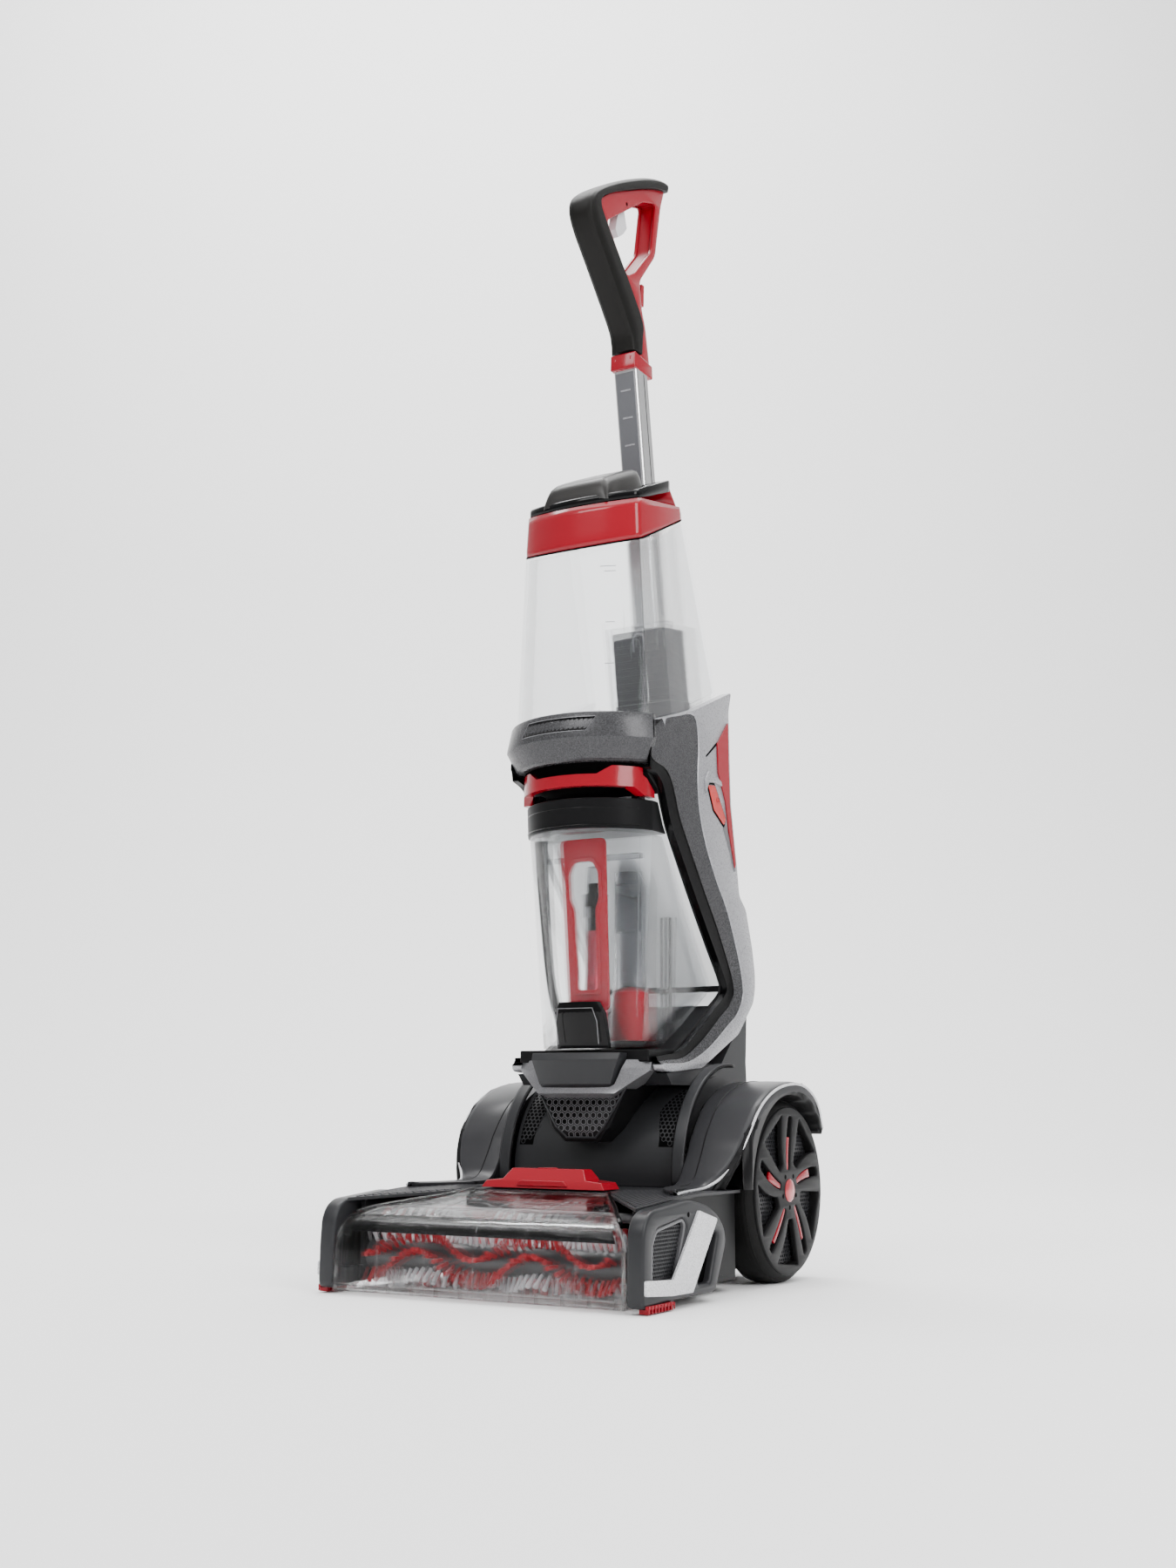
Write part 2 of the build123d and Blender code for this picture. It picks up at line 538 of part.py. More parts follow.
LOOP = [(5, 1034), (82, 1092), (110, 1103), (99, 1042), (64, 1004), (47, 993)]
TRIGGER_PIN = (46.0, 1072.0)
with BuildPart() as handle_core:
    side(LINING + [(122, 1106), (108, 1040), (74, 996), (78, 970), (87, 953), (97, 909), (97, 897), (55, 897),
                   (55, 916)], -CORE_HALF, CORE_HALF)
    side([(55, 897), (97, 897), (97, 914), (55, 914)], -GRIP_HALF, GRIP_HALF)
    side(LOOP, -CORE_HALF, CORE_HALF, Mode.SUBTRACT)
    side([(24, 1034), (18, 1060), (40, 1079), (62, 1086), (66, 1060)], -5, 5, Mode.SUBTRACT)
    along_tube(TUBE_HALF, TUBE_HALF, TUBE_HALF, 300, TUBE_LENGTH - 300, Mode.SUBTRACT)
    disc(TRIGGER_PIN, 2.06, -CORE_HALF, CORE_HALF, Mode.SUBTRACT)
    along_tube(40, -TUBE_HALF - 0.0, TUBE_HALF + 9, 300, from_tube_foot(889) - 300, Mode.SUBTRACT)

with BuildPart() as trigger:
    side([(42, 1068), (44, 1075), (50, 1075), (58, 1052), (50, 1042), (40, 1034), (34, 1040), (38, 1056)], -4.5, 4.5)
    disc(TRIGGER_PIN, 2.0, -CORE_HALF, CORE_HALF)

with BuildPart() as cord_hook_upper:
    with Locations(Plane(origin=(0, 79, 984), x_dir=(1, 0, 0), z_dir=(0, 1, 0))):
        Cylinder(6, 7, align=(Align.CENTER, Align.CENTER, Align.MIN))
    side([(86, 980), (86, 990), (90, 1004), (95, 1004), (94, 980)], -5, 5)
    side(LINING + [(122, 1106), (108, 1040), (74, 996), (78, 970), (87, 953), (97, 909), (97, 897), (55, 897),
                   (55, 916)], -CORE_HALF - 1, CORE_HALF + 1, Mode.SUBTRACT)

with BuildPart() as cord_hook_lower:
    side([(160, 326), (172, 322), (184, 324), (189, 300), (189.8, 300), (189.8, 334), (164, 336)], -8, 8)
    side(SPINE, -90, 90, Mode.SUBTRACT)

# ---------------------------------------------------------------- upright: machinery
with BuildPart() as vacuum_motor:
    disc((96, 132), 34, -78, 30)
    disc((96, 132), 26, 30, 60)

with BuildPart() as water_pump:
    slab((-60, -20), (140, 164), (150, 190))
    disc((152, 170), 11, -20, 20)

# ---------------------------------------------------------------- clean tank
CLEAN_COLUMN = [(500, 72, -49, -20, 145), (672, 63.5, -43, -22, 145), (790, 57.5, -38, -20, 145)]
CLEAN_INNER = [(z, half - 2.4, nose + 2.4, flank + 2.4, rear) for z, half, nose, flank, rear in CLEAN_COLUMN]
BAND_COLUMN = [(z, half + 0.8, nose - 0.8, flank - 0.8, rear) for z, half, nose, flank, rear in CLEAN_COLUMN]
CLEAN_SIDE = [(-60, 506), (-12, 506), (125, 547), (127, 562), (73, 731), (20, 697), (-60, 668)]
BAND_SIDE = [(-60, 668.2), (20, 697.2), (73, 731.2), (51, 754), (8, 731), (-60, 712)]
LID_SIDE = [(-60, 712.2), (8, 731.2), (51, 754.2), (46, 764), (-20, 733), (-60, 722)]
HUMP_SIDE = [(-36, 722), (-30, 744), (36, 777), (48, 775), (50, 756), (10, 738)]


def tube_channel(mode):
    """Room for the tube and its socket behind the tank."""
    along_tube(32.5, 29.5, 80, -60, from_tube_foot(560) + 74 + 63, mode)
    along_tube(17, 17, 80, 0, 320, mode)


with BuildPart() as clean_cavity:
    side(inset(CLEAN_SIDE, 2.4), -80, 80)
    bow(CLEAN_INNER, Mode.INTERSECT)
    for left in (-90, 65):
        side([(-60, 500), (-60, 515.5), (-4, 515.5), (60, 535.5), (142, 571), (142, 500)], left, left + 25,
             Mode.SUBTRACT)
    along_tube(35, 32, 90, -60, from_tube_foot(560) + 74 + 65.5, Mode.SUBTRACT)
    along_tube(19.5, 19.5, 90, 0, 330, Mode.SUBTRACT)

with BuildPart() as clean_tank:
    side(CLEAN_SIDE, -80, 80)
    bow(CLEAN_COLUMN, Mode.INTERSECT)
    tube_channel(Mode.SUBTRACT)
    for left in (-90, 67.4):
        side([(-60, 500), (-19, 500), (-4, 513), (60, 533), (142, 568), (142, 500)], left, left + 22.6,
             Mode.SUBTRACT)
    add(clean_cavity.part, mode=Mode.SUBTRACT)

with BuildPart() as tank_band:
    side(BAND_SIDE, -80, 80)
    bow(BAND_COLUMN, Mode.INTERSECT)
    with BuildPart(mode=Mode.PRIVATE) as band_hollow:
        side(inset(BAND_SIDE, -5), -80, 80)
        bow(CLEAN_INNER, Mode.INTERSECT)
        along_tube(19.5, 19.5, 90, 0, 330, Mode.SUBTRACT)
    add(band_hollow.part, mode=Mode.SUBTRACT)
    along_tube(17, 17, 80, 0, 330, Mode.SUBTRACT)

with BuildPart() as tank_lid:
    side(LID_SIDE, -80, 80)
    bow(CLEAN_COLUMN, Mode.INTERSECT)
    side(HUMP_SIDE, -30, 30)
    side(BAND_SIDE, -80, 80, Mode.SUBTRACT)
    along_tube(17, 17, 80, 0, 330, Mode.SUBTRACT)

# ---------------------------------------------------------------- dirty tank
DIRTY_COLUMN = [(200, 52, -12, 4, 140), (408, 66.5, -46, -2, 140), (440, 67, -49, -4, 140)]
DIRTY_INNER = [(z, half - 2.4, nose + 2.4, flank + 2.4, rear) for z, half, nose, flank, rear in DIRTY_COLUMN]
DIRTY_SIDE = [(-60, 208.5), (36, 209.5), (72, 229), (129.5, 265.5), (132.4, 275), (72, 344), (22, 406), (-60, 406)]
DIRTY_LID = [(-60, 406.2), (22, 406.2), (16, 414), (6, 434), (-60, 434)]
with BuildPart() as dirty_cavity:
    side(inset(DIRTY_SIDE, 2.4), -80, 80)
    bow(DIRTY_INNER, Mode.INTERSECT)
with BuildPart() as dirty_tank:
    side(DIRTY_SIDE, -80, 80)
    bow(DIRTY_COLUMN, Mode.INTERSECT)
    add(dirty_cavity.part, mode=Mode.SUBTRACT)

BAIL_PIVOT = (-7.0, 441.5)
with BuildPart() as dirty_lid:
    side(DIRTY_LID, -80, 80)
    bow([(400, 67.2, -48, -3, 140), (440, 67.4, -51, -5, 140)], Mode.INTERSECT)
    for left in (-56, 50):
        side([(-15, 434), (-12, 447), (-1, 447), (3, 434)], left, left + 6)
        disc(BAIL_PIVOT, 3.56, left, left + 6, Mode.SUBTRACT)

with BuildPart() as separator_frame:
    side([(-21, 403.4), (-16, 403.4), (9, 252), (4, 252)], -26, 26)
    front([(-26, 404), (26, 404), (23, 240), (-23, 240)], -40, 30, Mode.INTERSECT)
    front([(-16, 378), (-8, 384), (8, 384), (16, 378), (16, 350), (13, 345), (13, 270), (-13, 270), (-13, 345),
           (-16, 350)], -40, 30, Mode.SUBTRACT)
    slab((-8, 8), (-16, 20), (399, 403.4))

with BuildPart() as inlet_stack:
    with Locations((14, 50, 216)):
        Cone(20, 15, 70, align=(Align.CENTER, Align.CENTER, Align.MIN))
        Cylinder(15, 160, align=(Align.CENTER, Align.CENTER, Align.MIN))
        Cylinder(12, 160, align=(Align.CENTER, Align.CENTER, Align.MIN), mode=Mode.SUBTRACT)
    side(inset(DIRTY_SIDE, 2.4), -80, 80, Mode.INTERSECT)

with BuildPart() as badge_plate:
    bow([(208.5, 27, -19, -14, 30), (240, 25, -27, -22, 30), (250, 20, -27, -24, 30)])
    bow(DIRTY_COLUMN, Mode.SUBTRACT)
    slab((-90, 90), (0, 60), (200, 260), Mode.SUBTRACT)

BAIL_TOP = [(-80, 456), (-62, 463), (-44, 463), (-32, 455), (32, 455), (44, 463), (62, 463), (80, 456), (80, 480),
            (-80, 480)]
with BuildPart() as carry_handle:
    bow([(436, 66.6, -56, -14, 2), (466, 66.2, -55, -14, 2)])
    bow([(430, 60, -49, -8, 20), (480, 59.6, -48, -8, 20)], Mode.SUBTRACT)
    front(BAIL_TOP, -70, 20, Mode.SUBTRACT)
    side([(-80, 430), (-80, 444), (-26, 444), (-17, 437), (10, 437), (10, 430)], -80, 80, Mode.SUBTRACT)
    side([(-18, 470), (-18, 456), (0, 443), (2, 430), (20, 430), (20, 470)], -80, 80, Mode.SUBTRACT)
    for left in (-66, 55.5):
        disc(BAIL_PIVOT, 3.5, left, left + 10.5)

# ---------------------------------------------------------------- export
PIECES = dict(
    foot_chassis=foot_chassis, foot_deck=foot_deck, barrel_shell=barrel_shell,
    side_cap_right=side_cap_right, side_cap_left=side_cap_left, cap_grilles=cap_grilles,
    side_trims=side_trims, edge_brushes=edge_brushes, arch_right=arch_right, arch_left=arch_left,
    wheel_axles=wheel_axles, brush_motor=brush_motor, suction_duct=suction_duct, drive_belt=drive_belt,
    belt_cover=belt_cover, spray_bar=spray_bar, foot_screws=foot_screws,
    tyre_right=tyre_right, tyre_left=tyre_left, wheel_disc_right=wheel_disc_right,
    wheel_disc_left=wheel_disc_left, spoke_insert_right=spoke_insert_right,
    spoke_insert_left=spoke_insert_left, brush_core_front=brush_core_front, bristles_front=bristles_front,
    brush_core_rear=brush_core_rear, bristles_rear=bristles_rear, motor_pulley=motor_pulley,
    nozzle_window=nozzle_window, nozzle_latch=nozzle_latch,
    lower_housing=lower_housing, vent_cover=vent_cover, lower_front_trim=lower_front_trim,
    body_spine=body_spine, frame_right=frame_right, frame_left=frame_left, chin_band=chin_band,
    power_button=power_button, accents=accents, front_collar=front_collar, tank_deck=tank_deck,
    tube_socket=tube_socket, handle_tube=handle_tube, cable_rail=cable_rail, handle_grip=handle_grip,
    handle_core=handle_core, trigger=trigger, cord_hook_upper=cord_hook_upper,
    cord_hook_lower=cord_hook_lower, vacuum_motor=vacuum_motor, water_pump=water_pump,
    clean_tank=clean_tank, tank_band=tank_band, tank_lid=tank_lid, dirty_tank=dirty_tank,
    dirty_lid=dirty_lid, separator_frame=separator_frame, inlet_stack=inlet_stack,
    badge_plate=badge_plate, carry_handle=carry_handle,
)
for name, piece in PIECES.items():
    piece.part.label = name
    export_step(piece.part, f"parts/{name}.step")
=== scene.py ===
"""The looks of an upright carpet washing machine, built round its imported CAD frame."""

import math

import bmesh
import bpy
from mathutils import Matrix, Vector


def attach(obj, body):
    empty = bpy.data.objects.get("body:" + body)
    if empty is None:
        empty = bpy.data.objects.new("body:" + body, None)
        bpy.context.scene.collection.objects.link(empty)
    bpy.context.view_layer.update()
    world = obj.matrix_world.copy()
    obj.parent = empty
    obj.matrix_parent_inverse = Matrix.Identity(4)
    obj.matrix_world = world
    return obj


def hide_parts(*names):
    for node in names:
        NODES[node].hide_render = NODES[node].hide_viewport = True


bl_info = {
    "name": "Carpet washer looks",
    "version": (1, 0, 0),
    "blender": (4, 5, 0),
    "location": "View3D > Sidebar > Carpet washer",
    "description": "Builds the visible pieces and finishes of an upright carpet washing machine",
    "category": "Object",
}

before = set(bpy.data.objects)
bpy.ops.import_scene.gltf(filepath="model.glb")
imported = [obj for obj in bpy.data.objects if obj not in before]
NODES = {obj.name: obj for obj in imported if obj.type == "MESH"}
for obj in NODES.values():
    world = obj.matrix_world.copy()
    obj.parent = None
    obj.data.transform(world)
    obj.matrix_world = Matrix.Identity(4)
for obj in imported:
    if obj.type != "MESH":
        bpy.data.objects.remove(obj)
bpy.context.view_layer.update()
MM = 0.001

# Side outlines are (y, z), front outlines (x, z) and plan outlines (x, y), in millimetres.
FACING = {
    "x": Matrix(((0, 0, 1, 0), (1, 0, 0, 0), (0, 1, 0, 0), (0, 0, 0, 1))),
    "y": Matrix(((1, 0, 0, 0), (0, 0, -1, 0), (0, 1, 0, 0), (0, 0, 0, 1))),
    "z": Matrix.Identity(4),
}
# The upright's pivot and the wheels' axle as (y, z), and the tube's lean as y lost per z gained
HINGE = (95.0, 98.0)
AXLE = (108.0, 82.0)
LEAN = 0.162
SIDES = (("right", 1), ("left", -1))
BOX_FACES = ((0, 1, 2, 3), (4, 5, 6, 7), (0, 1, 5, 4), (1, 2, 6, 5), (2, 3, 7, 6), (3, 0, 4, 7))
JOIN_WITHIN = 1e-6


# ---------------------------------------------------------------- settings
class WasherSizes(bpy.types.PropertyGroup):
    """Sizes that a user may change."""

    edge_round: bpy.props.FloatProperty(
        name="Edge rounding", description="Scale of the rounding on the moulded edges", default=1.0,
        min=0.1, max=2.0,
    )
    mesh_pitch: bpy.props.FloatProperty(
        name="Wheel mesh pitch", description="Distance between the holes of the wheel mesh", default=0.0042,
        unit="LENGTH",
    )
    tuft_length: bpy.props.FloatProperty(
        name="Tuft length", description="Length of a brush tuft above its core", default=0.0134,
        unit="LENGTH",
    )
    tuft_gap: bpy.props.FloatProperty(
        name="Tuft gap", description="Distance between tufts along a brush roll", default=0.0056,
        unit="LENGTH",
    )
    ridge_gap: bpy.props.FloatProperty(
        name="Deck ridge gap", description="Distance between the ridges of the foot's deck", default=0.0046,
        unit="LENGTH",
    )


class WasherColours(bpy.types.PropertyGroup):
    """Colours that a user may change."""

    charcoal: bpy.props.FloatVectorProperty(
        name="Charcoal", description="Foot and housing plastic", subtype="COLOR", size=3,
        default=(0.019, 0.0195, 0.0215),
    )
    silver: bpy.props.FloatVectorProperty(
        name="Silver", description="Side frame paint", subtype="COLOR", size=3, default=(0.33, 0.33, 0.35)
    )
    red: bpy.props.FloatVectorProperty(
        name="Red", description="Gloss red plastic", subtype="COLOR", size=3, default=(0.27, 0.0014, 0.011)
    )
    orange: bpy.props.FloatVectorProperty(
        name="Orange red", description="Power button", subtype="COLOR", size=3, default=(0.50, 0.008, 0.004)
    )


# ---------------------------------------------------------------- shader groups
def shader_group(name, inputs, outputs):
    """A new node group with named sockets; returns the tree with its two end nodes."""
    tree = bpy.data.node_groups.new(name, "ShaderNodeTree")
    for label, kind, default in inputs:
        socket = tree.interface.new_socket(label, in_out="INPUT", socket_type=kind)
        socket.default_value = default
    for label, kind in outputs:
        tree.interface.new_socket(label, in_out="OUTPUT", socket_type=kind)
    return tree, tree.nodes.new("NodeGroupInput"), tree.nodes.new("NodeGroupOutput")


def node(tree, kind, links=(), **settings):
    """Add a node, set its properties or numbered inputs, and link (input, socket) pairs into it."""
    made = tree.nodes.new(kind)
    for key, value in settings.items():
        if key.startswith("in_"):
            made.inputs[int(key[3:])].default_value = value
        else:
            setattr(made, key, value)
    for target, source in links:
        tree.links.new(source, made.inputs[target])
    return made


def swing(tree, amount, pattern):
    """Amount x (pattern - 0.5)."""
    centred = node(tree, "ShaderNodeMath", [(0, pattern)], operation="SUBTRACT", in_1=0.5)
    scaled = node(tree, "ShaderNodeMath", [(0, centred.outputs[0]), (1, amount)], operation="MULTIPLY")
    return scaled.outputs[0]


def varied_colour(tree, colour, amount, pattern):
    """Colour times 1 + amount x (pattern - 0.5)."""
    lifted = node(tree, "ShaderNodeMath", [(0, swing(tree, amount, pattern))], operation="ADD", in_1=1.0)
    scaled = node(tree, "ShaderNodeVectorMath", [(0, colour), (3, lifted.outputs[0])], operation="SCALE")
    return scaled.outputs[0]


def varied_value(tree, value, amount, pattern):
    """Value plus amount x (pattern - 0.5)."""
    links = [(0, value), (1, swing(tree, amount, pattern))]
    return node(tree, "ShaderNodeMath", links, operation="ADD", use_clamp=True).outputs[0]


def put_out(tree, end, *results):
    """Link a group's results to its outputs in order."""
    for target, source in zip(end.inputs, results):
        tree.links.new(source, target)


def moulded_skin_group():
    """Moulded plastic: fine spark-eroded grain, soft flow marks and faint tone changes."""
    tree, start, end = shader_group(
        "Moulded skin",
        [("Colour", "NodeSocketColor", (0.1, 0.1, 0.1, 1)), ("Tone", "NodeSocketFloat", 0.15),
         ("Roughness", "NodeSocketFloat", 0.4), ("Roughness spread", "NodeSocketFloat", 0.12),
         ("Grain scale", "NodeSocketFloat", 1500.0)],
        [("Colour", "NodeSocketColor"), ("Roughness", "NodeSocketFloat"), ("Height", "NodeSocketFloat")],
    )
    place = node(tree, "ShaderNodeTexCoord").outputs["Object"]
    grain = node(tree, "ShaderNodeTexNoise", [("Vector", place), ("Scale", start.outputs["Grain scale"])])
    grain.inputs["Detail"].default_value = 3.0
    flow = node(tree, "ShaderNodeTexNoise", [("Vector", place)])
    flow.inputs["Scale"].default_value = 18.0
    flow.inputs["Detail"].default_value = 4.0
    colour = varied_colour(tree, start.outputs["Colour"], start.outputs["Tone"], flow.outputs[0])
    spread = start.outputs["Roughness spread"]
    roughness = varied_value(tree, start.outputs["Roughness"], spread, flow.outputs[0])
    put_out(tree, end, colour, roughness, grain.outputs[0])
    return tree


def flake_paint_group():
    """Metallic paint: small bright and dark flakes under a smooth coat."""
    tree, start, end = shader_group(
        "Flake paint",
        [("Colour", "NodeSocketColor", (0.5, 0.5, 0.5, 1)), ("Sparkle", "NodeSocketFloat", 0.5),
         ("Roughness", "NodeSocketFloat", 0.35), ("Flake scale", "NodeSocketFloat", 1400.0)],
        [("Colour", "NodeSocketColor"), ("Roughness", "NodeSocketFloat"), ("Height", "NodeSocketFloat")],
    )
    place = node(tree, "ShaderNodeTexCoord").outputs["Object"]
    cells = node(tree, "ShaderNodeTexVoronoi", [("Vector", place), ("Scale", start.outputs["Flake scale"])])
    tint = node(tree, "ShaderNodeSeparateColor", [(0, cells.outputs["Color"])])
    mist = node(tree, "ShaderNodeTexNoise", [("Vector", place)])
    mist.inputs["Scale"].default_value = 25.0
    colour = varied_colour(tree, start.outputs["Colour"], start.outputs["Sparkle"], tint.outputs[0])
    spread = node(tree, "ShaderNodeMath", [(0, tint.outputs[1]), (1, mist.outputs[0])], operation="MULTIPLY")
    amount = node(tree, "ShaderNodeMath", [(0, start.outputs["Sparkle"])], operation="MULTIPLY", in_1=0.4)
    roughness = varied_value(tree, start.outputs["Roughness"], amount.outputs[0], spread.outputs[0])
    put_out(tree, end, colour, roughness, tint.outputs[2])
    return tree


def brushed_metal_group():
    """Metal brushed along the tube: long fine lines in tone, roughness and height."""
    tree, start, end = shader_group(
        "Brushed metal",
        [("Colour", "NodeSocketColor", (0.8, 0.8, 0.8, 1)), ("Tone", "NodeSocketFloat", 0.12),
         ("Roughness", "NodeSocketFloat", 0.25), ("Line scale", "NodeSocketFloat", 2200.0)],
        [("Colour", "NodeSocketColor"), ("Roughness", "NodeSocketFloat"), ("Height", "NodeSocketFloat")],
    )
    place = node(tree, "ShaderNodeTexCoord").outputs["Object"]
    stretched = node(tree, "ShaderNodeMapping", [("Vector", place)])
    stretched.inputs["Scale"].default_value = (1, 1, 0.006)
    lines = node(tree, "ShaderNodeTexNoise",
                 [("Vector", stretched.outputs[0]), ("Scale", start.outputs["Line scale"])])
    colour = varied_colour(tree, start.outputs["Colour"], start.outputs["Tone"], lines.outputs[0])
    roughness = varied_value(tree, start.outputs["Roughness"], start.outputs["Tone"], lines.outputs[0])
    put_out(tree, end, colour, roughness, lines.outputs[0])
    return tree


def clear_moulding_group():
    """Clear plastic: slow waves from moulding and a breath of haze."""
    tree, start, end = shader_group(
        "Clear moulding",
        [("Colour", "NodeSocketColor", (0.95, 0.97, 0.98, 1)), ("Haze", "NodeSocketFloat", 0.05),
         ("Roughness", "NodeSocketFloat", 0.03), ("Wave scale", "NodeSocketFloat", 22.0)],
        [("Colour", "NodeSocketColor"), ("Roughness", "NodeSocketFloat"), ("Height", "NodeSocketFloat")],
    )
    place = node(tree, "ShaderNodeTexCoord").outputs["Object"]
    waves = node(tree, "ShaderNodeTexNoise", [("Vector", place), ("Scale", start.outputs["Wave scale"])])
    colour = varied_colour(tree, start.outputs["Colour"], start.outputs["Haze"], waves.outputs[0])
    roughness = varied_value(tree, start.outputs["Roughness"], start.outputs["Haze"], waves.outputs[0])
    put_out(tree, end, colour, roughness, waves.outputs[0])
    return tree


GROUP_MAKERS = {
    "Moulded skin": moulded_skin_group,
    "Flake paint": flake_paint_group,
    "Brushed metal": brushed_metal_group,
    "Clear moulding": clear_moulding_group,
}


def colour_of(name):
    """A colour from the settings panel."""
    return tuple(getattr(bpy.context.scene.washer_colours, name))


# finish: (group, colour or panel colour name, group values, bump strength, bump distance, surface sockets)
FINISHES = {
    "charcoal": ("Moulded skin", "charcoal", {"Roughness": 0.38, "Grain scale": 1700}, 0.12, 0.0002,
                 {"Specular IOR Level": 0.26}),
    "dark_satin": ("Moulded skin", (0.006, 0.006, 0.0065), {"Roughness": 0.36, "Grain scale": 1500}, 0.12,
                   0.0002, {"Specular IOR Level": 0.1}),
    "gloss_black": ("Moulded skin", (0.0025, 0.0025, 0.0028), {"Roughness": 0.14, "Roughness spread": 0.05},
                    0.02, 0.0001, {"Specular IOR Level": 0.14, "Coat Weight": 0.06, "Coat Roughness": 0.04}),
    # Brownish grey of the lid's grip: its dark satin moulding lightened by a painted sheen.
    "lid_brown": ("Moulded skin", (0.014, 0.013, 0.012), {"Roughness": 0.34, "Grain scale": 2200}, 0.14,
                  0.0002, {"Specular IOR Level": 0.3}),
    "pale_liner": ("Moulded skin", (0.80, 0.81, 0.82), {"Roughness": 0.5, "Tone": 0.06}, 0.08, 0.0002, {}),
    # Near black with almost no reflection: painted shade where it fills holes, slots and the spaces behind
    # grilles and meshes; elsewhere the own near black of seams, seals and other dark parts.
    "deep_black": ("Moulded skin", (0.0015, 0.0015, 0.0015), {"Roughness": 0.7}, 0.05, 0.0001,
                   {"Specular IOR Level": 0.02}),
    "grip_rubber": ("Moulded skin", (0.0055, 0.0051, 0.0046), {"Roughness": 0.46, "Grain scale": 2600},
                    0.35, 0.0003, {"Specular IOR Level": 0.16}),
    "silver": ("Flake paint", "silver", {"Roughness": 0.36, "Sparkle": 0.5}, 0.05, 0.0001,
               {"Metallic": 0.35, "Coat Weight": 0.25, "Coat Roughness": 0.2}),
    "bright_silver": ("Flake paint", (0.60, 0.60, 0.62), {"Roughness": 0.34, "Sparkle": 0.4}, 0.05, 0.0001,
                      {"Metallic": 0.2}),
    "silver_line": ("Flake paint", (0.19, 0.19, 0.20), {"Roughness": 0.34, "Sparkle": 0.3}, 0.05, 0.0001,
                    {"Metallic": 0.5}),
    "dark_flake": ("Flake paint", (0.050, 0.050, 0.053), {"Roughness": 0.36, "Sparkle": 0.8}, 0.05, 0.0001,
                   {"Metallic": 0.2, "Specular IOR Level": 0.25}),
    "arch_grey": ("Moulded skin", (0.026, 0.026, 0.0285), {"Roughness": 0.32, "Grain scale": 1700}, 0.10,
                  0.0002, {"Specular IOR Level": 0.22}),
    "wheel_satin": ("Moulded skin", (0.010, 0.010, 0.0105), {"Roughness": 0.42, "Grain scale": 1500}, 0.12,
                    0.0002, {"Specular IOR Level": 0.1}),
    "tyre": ("Moulded skin", (0.006, 0.006, 0.006), {"Roughness": 0.5, "Grain scale": 1200}, 0.2, 0.0003,
             {"Specular IOR Level": 0.1}),
    "red_gloss": ("Moulded skin", "red", {"Roughness": 0.20, "Roughness spread": 0.06, "Tone": 0.10}, 0.03,
                  0.0001, {"Specular IOR Level": 0.25, "Coat Weight": 0.3, "Coat Roughness": 0.06}),
    "red_satin": ("Moulded skin", "red", {"Roughness": 0.36, "Grain scale": 1600}, 0.10, 0.0002,
                  {"Specular IOR Level": 0.25}),
    "orange_gloss": ("Moulded skin", "orange", {"Roughness": 0.24, "Tone": 0.08}, 0.03, 0.0001,
                     {"Coat Weight": 0.5, "Coat Roughness": 0.1}),
    "hub_pink": ("Moulded skin", (0.45, 0.05, 0.06), {"Roughness": 0.22}, 0.03, 0.0001,
                 {"Metallic": 0.3, "Coat Weight": 0.5}),
    "red_bristle": ("Moulded skin", (0.32, 0.003, 0.010),
                    {"Roughness": 0.5, "Tone": 0.4, "Grain scale": 2500}, 0.5, 0.0004, {}),
    "white_bristle": ("Moulded skin", (0.55, 0.56, 0.58),
                      {"Roughness": 0.5, "Tone": 0.2, "Grain scale": 2500}, 0.5, 0.0004, {}),
    "core_satin": ("Moulded skin", (0.03, 0.03, 0.032), {"Roughness": 0.36}, 0.10, 0.0002, {}),
    "inner_grey": ("Moulded skin", (0.085, 0.085, 0.09), {"Roughness": 0.32}, 0.10, 0.0002, {}),
    "trigger_grey": ("Moulded skin", (0.62, 0.62, 0.64), {"Roughness": 0.36}, 0.10, 0.0002, {}),
    "label_grey": ("Brushed metal", (0.15, 0.153, 0.165), {"Roughness": 0.34}, 0.05, 0.0001,
                   {"Metallic": 0.5}),
    "aluminium": ("Brushed metal", (0.82, 0.82, 0.83), {"Roughness": 0.24}, 0.10, 0.0001, {"Metallic": 1.0}),
    "plated_steel": ("Brushed metal", (0.55, 0.55, 0.57), {"Roughness": 0.28}, 0.10, 0.0001,
                     {"Metallic": 1.0}),
    "tank_clear": ("Clear moulding", (0.95, 0.975, 0.99), {"Roughness": 0.02, "Haze": 0.02}, 0.03, 0.001,
                   {"Transmission Weight": 1.0, "IOR": 1.14, "Alpha": 0.36, "Coat Weight": 0.7,
                    "Coat Roughness": 0.01}),
    "window_clear": ("Clear moulding", (0.97, 0.975, 0.98),
                     {"Roughness": 0.005, "Haze": 0.01, "Wave scale": 30}, 0.06, 0.001,
                     {"Transmission Weight": 1.0, "IOR": 1.30, "Alpha": 0.30}),
    "smoke_clear": ("Clear moulding", (0.55, 0.56, 0.58), {"Roughness": 0.06}, 0.05, 0.001,
                    {"Transmission Weight": 1.0, "IOR": 1.4, "Alpha": 0.75}),
    "red_clear": ("Clear moulding", (0.85, 0.08, 0.13), {"Roughness": 0.06}, 0.05, 0.001,
                  {"Transmission Weight": 0.8, "IOR": 1.4, "Alpha": 0.9}),
}


